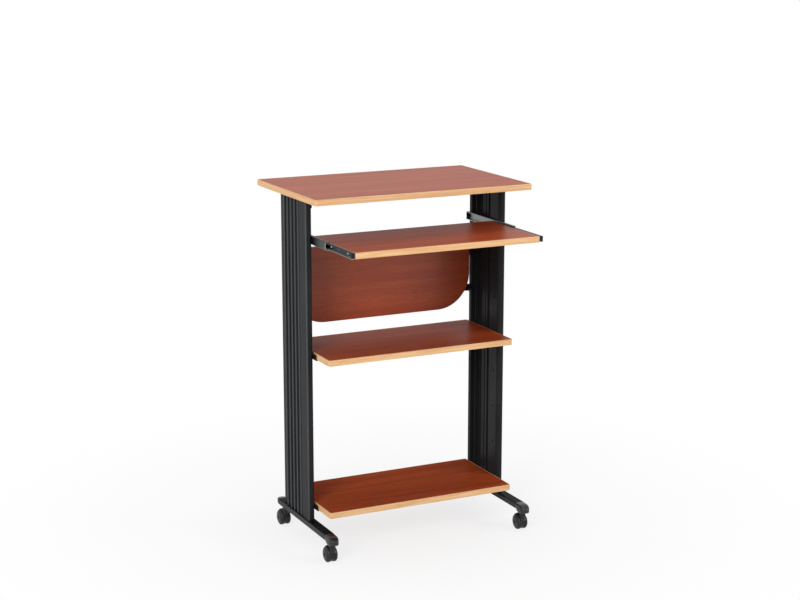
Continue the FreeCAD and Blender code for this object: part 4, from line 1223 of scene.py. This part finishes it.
class CastersOperator(bpy.types.Operator):
    """Mould the hoods of the casters and turn their twin wheels"""

    bl_idname = "desk.casters"
    bl_label = "Casters"

    # The step of a wheel's dome, counted from the tread, at which the groove lies.
    groove_step = 6

    def execute(self, context):
        sizes = context.scene.desk_hardware
        for caster in CASTERS:
            axle = middle_of(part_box(f"{caster}_caster_axle"))
            self.mould_hood(caster, axle, sizes)
            for side, sign in SIDES.items():
                self.turn_wheel(caster, side, sign, axle, sizes)
            dress(bolt_blacking(), f"{caster}_caster_axle")
        return {"FINISHED"}

    def turn_wheel(self, caster, side, sign, axle, sizes):
        """A wheel with a flat tread and a domed outer face, sunk at the axle and round the tyre."""
        node = f"{caster}_{side}_wheel"
        low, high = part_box(node)
        rim, wide = (high.z - low.z) / 2, high.x - low.x
        near = min((low.x, high.x), key=lambda x: abs(x - axle.x))
        bore, hub, cover = sizes.wheel_bore, sizes.wheel_hub, sizes.axle_cover
        tread = wide * sizes.wheel_tread
        groove = sizes.wheel_groove
        profile = [(0, bore, 0), (0, rim, sizes.wheel_edge)]
        for step in range(DOME_STEPS + 1):
            turned = math.pi / 2 * step / DOME_STEPS
            along, radius = tread + (wide - tread) * math.sin(turned), hub + (rim - hub) * math.cos(turned)
            profile.append((along, radius, 0))
            if step == self.groove_step:
                profile += [(along - groove, radius - groove, 0), (along, radius - groove * 2, 0)]
        bottom = wide - sizes.axle_depth
        profile += [(wide, cover, sizes.edge_break), (bottom, cover, 0), (bottom, bore, 0)]
        centre = Vector((near, axle.y, axle.z))
        piece = turn(f"{caster}_{side}_tyre", centre, X * sign, profile, WHEEL_STEPS, closed=True)
        fit(piece, f"{caster}_{side}_wheel_body", "wheel_plastic", wheel_plastic(), node)

    def mould_hood(self, caster, axle, sizes):
        """A hood: an arched fender over both wheels, a plate between them and the swivel boss."""
        node = f"{caster}_caster_hood"
        low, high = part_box(node)
        wall = sizes.hood_wall
        half = (high.x - low.x) / 2
        rim = high.y - axle.y - wall / 2
        stem = middle_of(crossing("caster_stems", (low, high))[0])
        start, sweep = -sizes.hood_rear, math.pi - sizes.hood_front + sizes.hood_rear
        piece = self.fender(f"{caster}_fender", axle, rim, half - wall / 2, start, sweep, sizes)
        carve(piece, self.web(axle, rim, start, sweep, sizes), "UNION")
        carve(piece, self.boss(stem, axle, rim - wall / 2, high.z, sizes), "UNION")
        drill(piece, [(Vector((stem.x, stem.y, high.z)), Z)], sizes.stem_bore, sizes.stem_depth * 2)
        drill(piece, [(axle, X)], sizes.wheel_bore, sizes.drill_depth)
        fit(piece, f"{caster}_caster", "hood_plastic", hood_plastic(), node)

    def fender(self, name, axle, rim, edge, start, sweep, sizes):
        """The arched cover: its section, turned about the axle from behind over the top to the front."""
        ahead = Y * math.cos(start) + Z * math.sin(start)
        skirt, crown = rim - sizes.hood_skirt, edge * sizes.hood_crown
        arch = sizes.hood_arch
        section = [(-edge, skirt, 0), (-crown, rim, arch), (crown, rim, arch), (edge, skirt, 0)]
        piece = draw(name, [(axle + X * x + ahead * radius, cut) for x, radius, cut in section])
        bpy.ops.mesh.spin(steps=FENDER_STEPS, angle=sweep, center=axle, axis=-X)
        return thicken(close_piece(piece), sizes.hood_wall)

    def web(self, axle, rim, start, sweep, sizes):
        """The plate between the wheels: out to the fender above, and a little short of the tread below."""
        half = sizes.web_half
        points = [self.on_rim(axle, rim, start + sweep * n / WEB_STEPS) for n in range(WEB_STEPS + 1)]
        for n in range(WEB_LOWER_STEPS):
            below = (FULL_TURN - sweep) * (n + 0.5) / WEB_LOWER_STEPS
            points.append(self.on_rim(axle, sizes.web_reach, start + sweep + below))
        outline = [(point - X * half, 0) for point in points]
        return slab("web", outline, X * half * 2)

    def boss(self, stem, axle, well, top, sizes):
        """The swivel boss with its narrower neck, cut away below for the wheels."""
        foot = axle.z + sizes.boss_foot
        neck, waist = top - foot - sizes.boss_neck, sizes.boss_radius * sizes.boss_waist
        profile = [
            (0, 0, 0),
            (0, sizes.boss_radius, 0),
            (neck, sizes.boss_radius, sizes.edge_break * 2),
            (neck, waist, 0),
            (top - foot, waist, sizes.edge_break),
            (top - foot, 0, 0),
        ]
        piece = turn("boss", Vector((stem.x, stem.y, foot)), Z, profile, BOSS_STEPS)
        return drill(piece, [(axle, X)], well, sizes.drill_depth)

    def on_rim(self, axle, radius, turned):
        return axle + (Y * math.cos(turned) + Z * math.sin(turned)) * radius


# Panel and start


class WorkstationPanel(bpy.types.Panel):
    """Lists what dresses the workstation"""

    bl_idname = "DESK_PT_workstation"
    bl_label = "Workstation"
    bl_space_type = "VIEW_3D"
    bl_region_type = "UI"
    bl_category = "Workstation"

    def draw(self, context):
        for operator in OPERATORS:
            self.layout.operator(operator.bl_idname)


OPERATORS = (
    StageOperator, BoardsOperator, UprightsOperator, BracketsOperator, FastenersOperator, SlidesOperator,
    FeetOperator, CastersOperator,
)
SETTINGS = {"desk_stage": StageSettings, "desk_finishes": FinishSettings, "desk_hardware": HardwareSettings}


def register():
    for kind in (*SETTINGS.values(), *OPERATORS, WorkstationPanel):
        bpy.utils.register_class(kind)
    for name, kind in SETTINGS.items():
        setattr(bpy.types.Scene, name, PointerProperty(type=kind))


def unregister():
    for name in SETTINGS:
        delattr(bpy.types.Scene, name)
    for kind in (WorkstationPanel, *reversed(OPERATORS), *SETTINGS.values()):
        bpy.utils.unregister_class(kind)


def main():
    register()
    for operator in OPERATORS:
        family, name = operator.bl_idname.split(".")
        getattr(getattr(bpy.ops, family), name)()


if __name__ == "__main__":
    main()
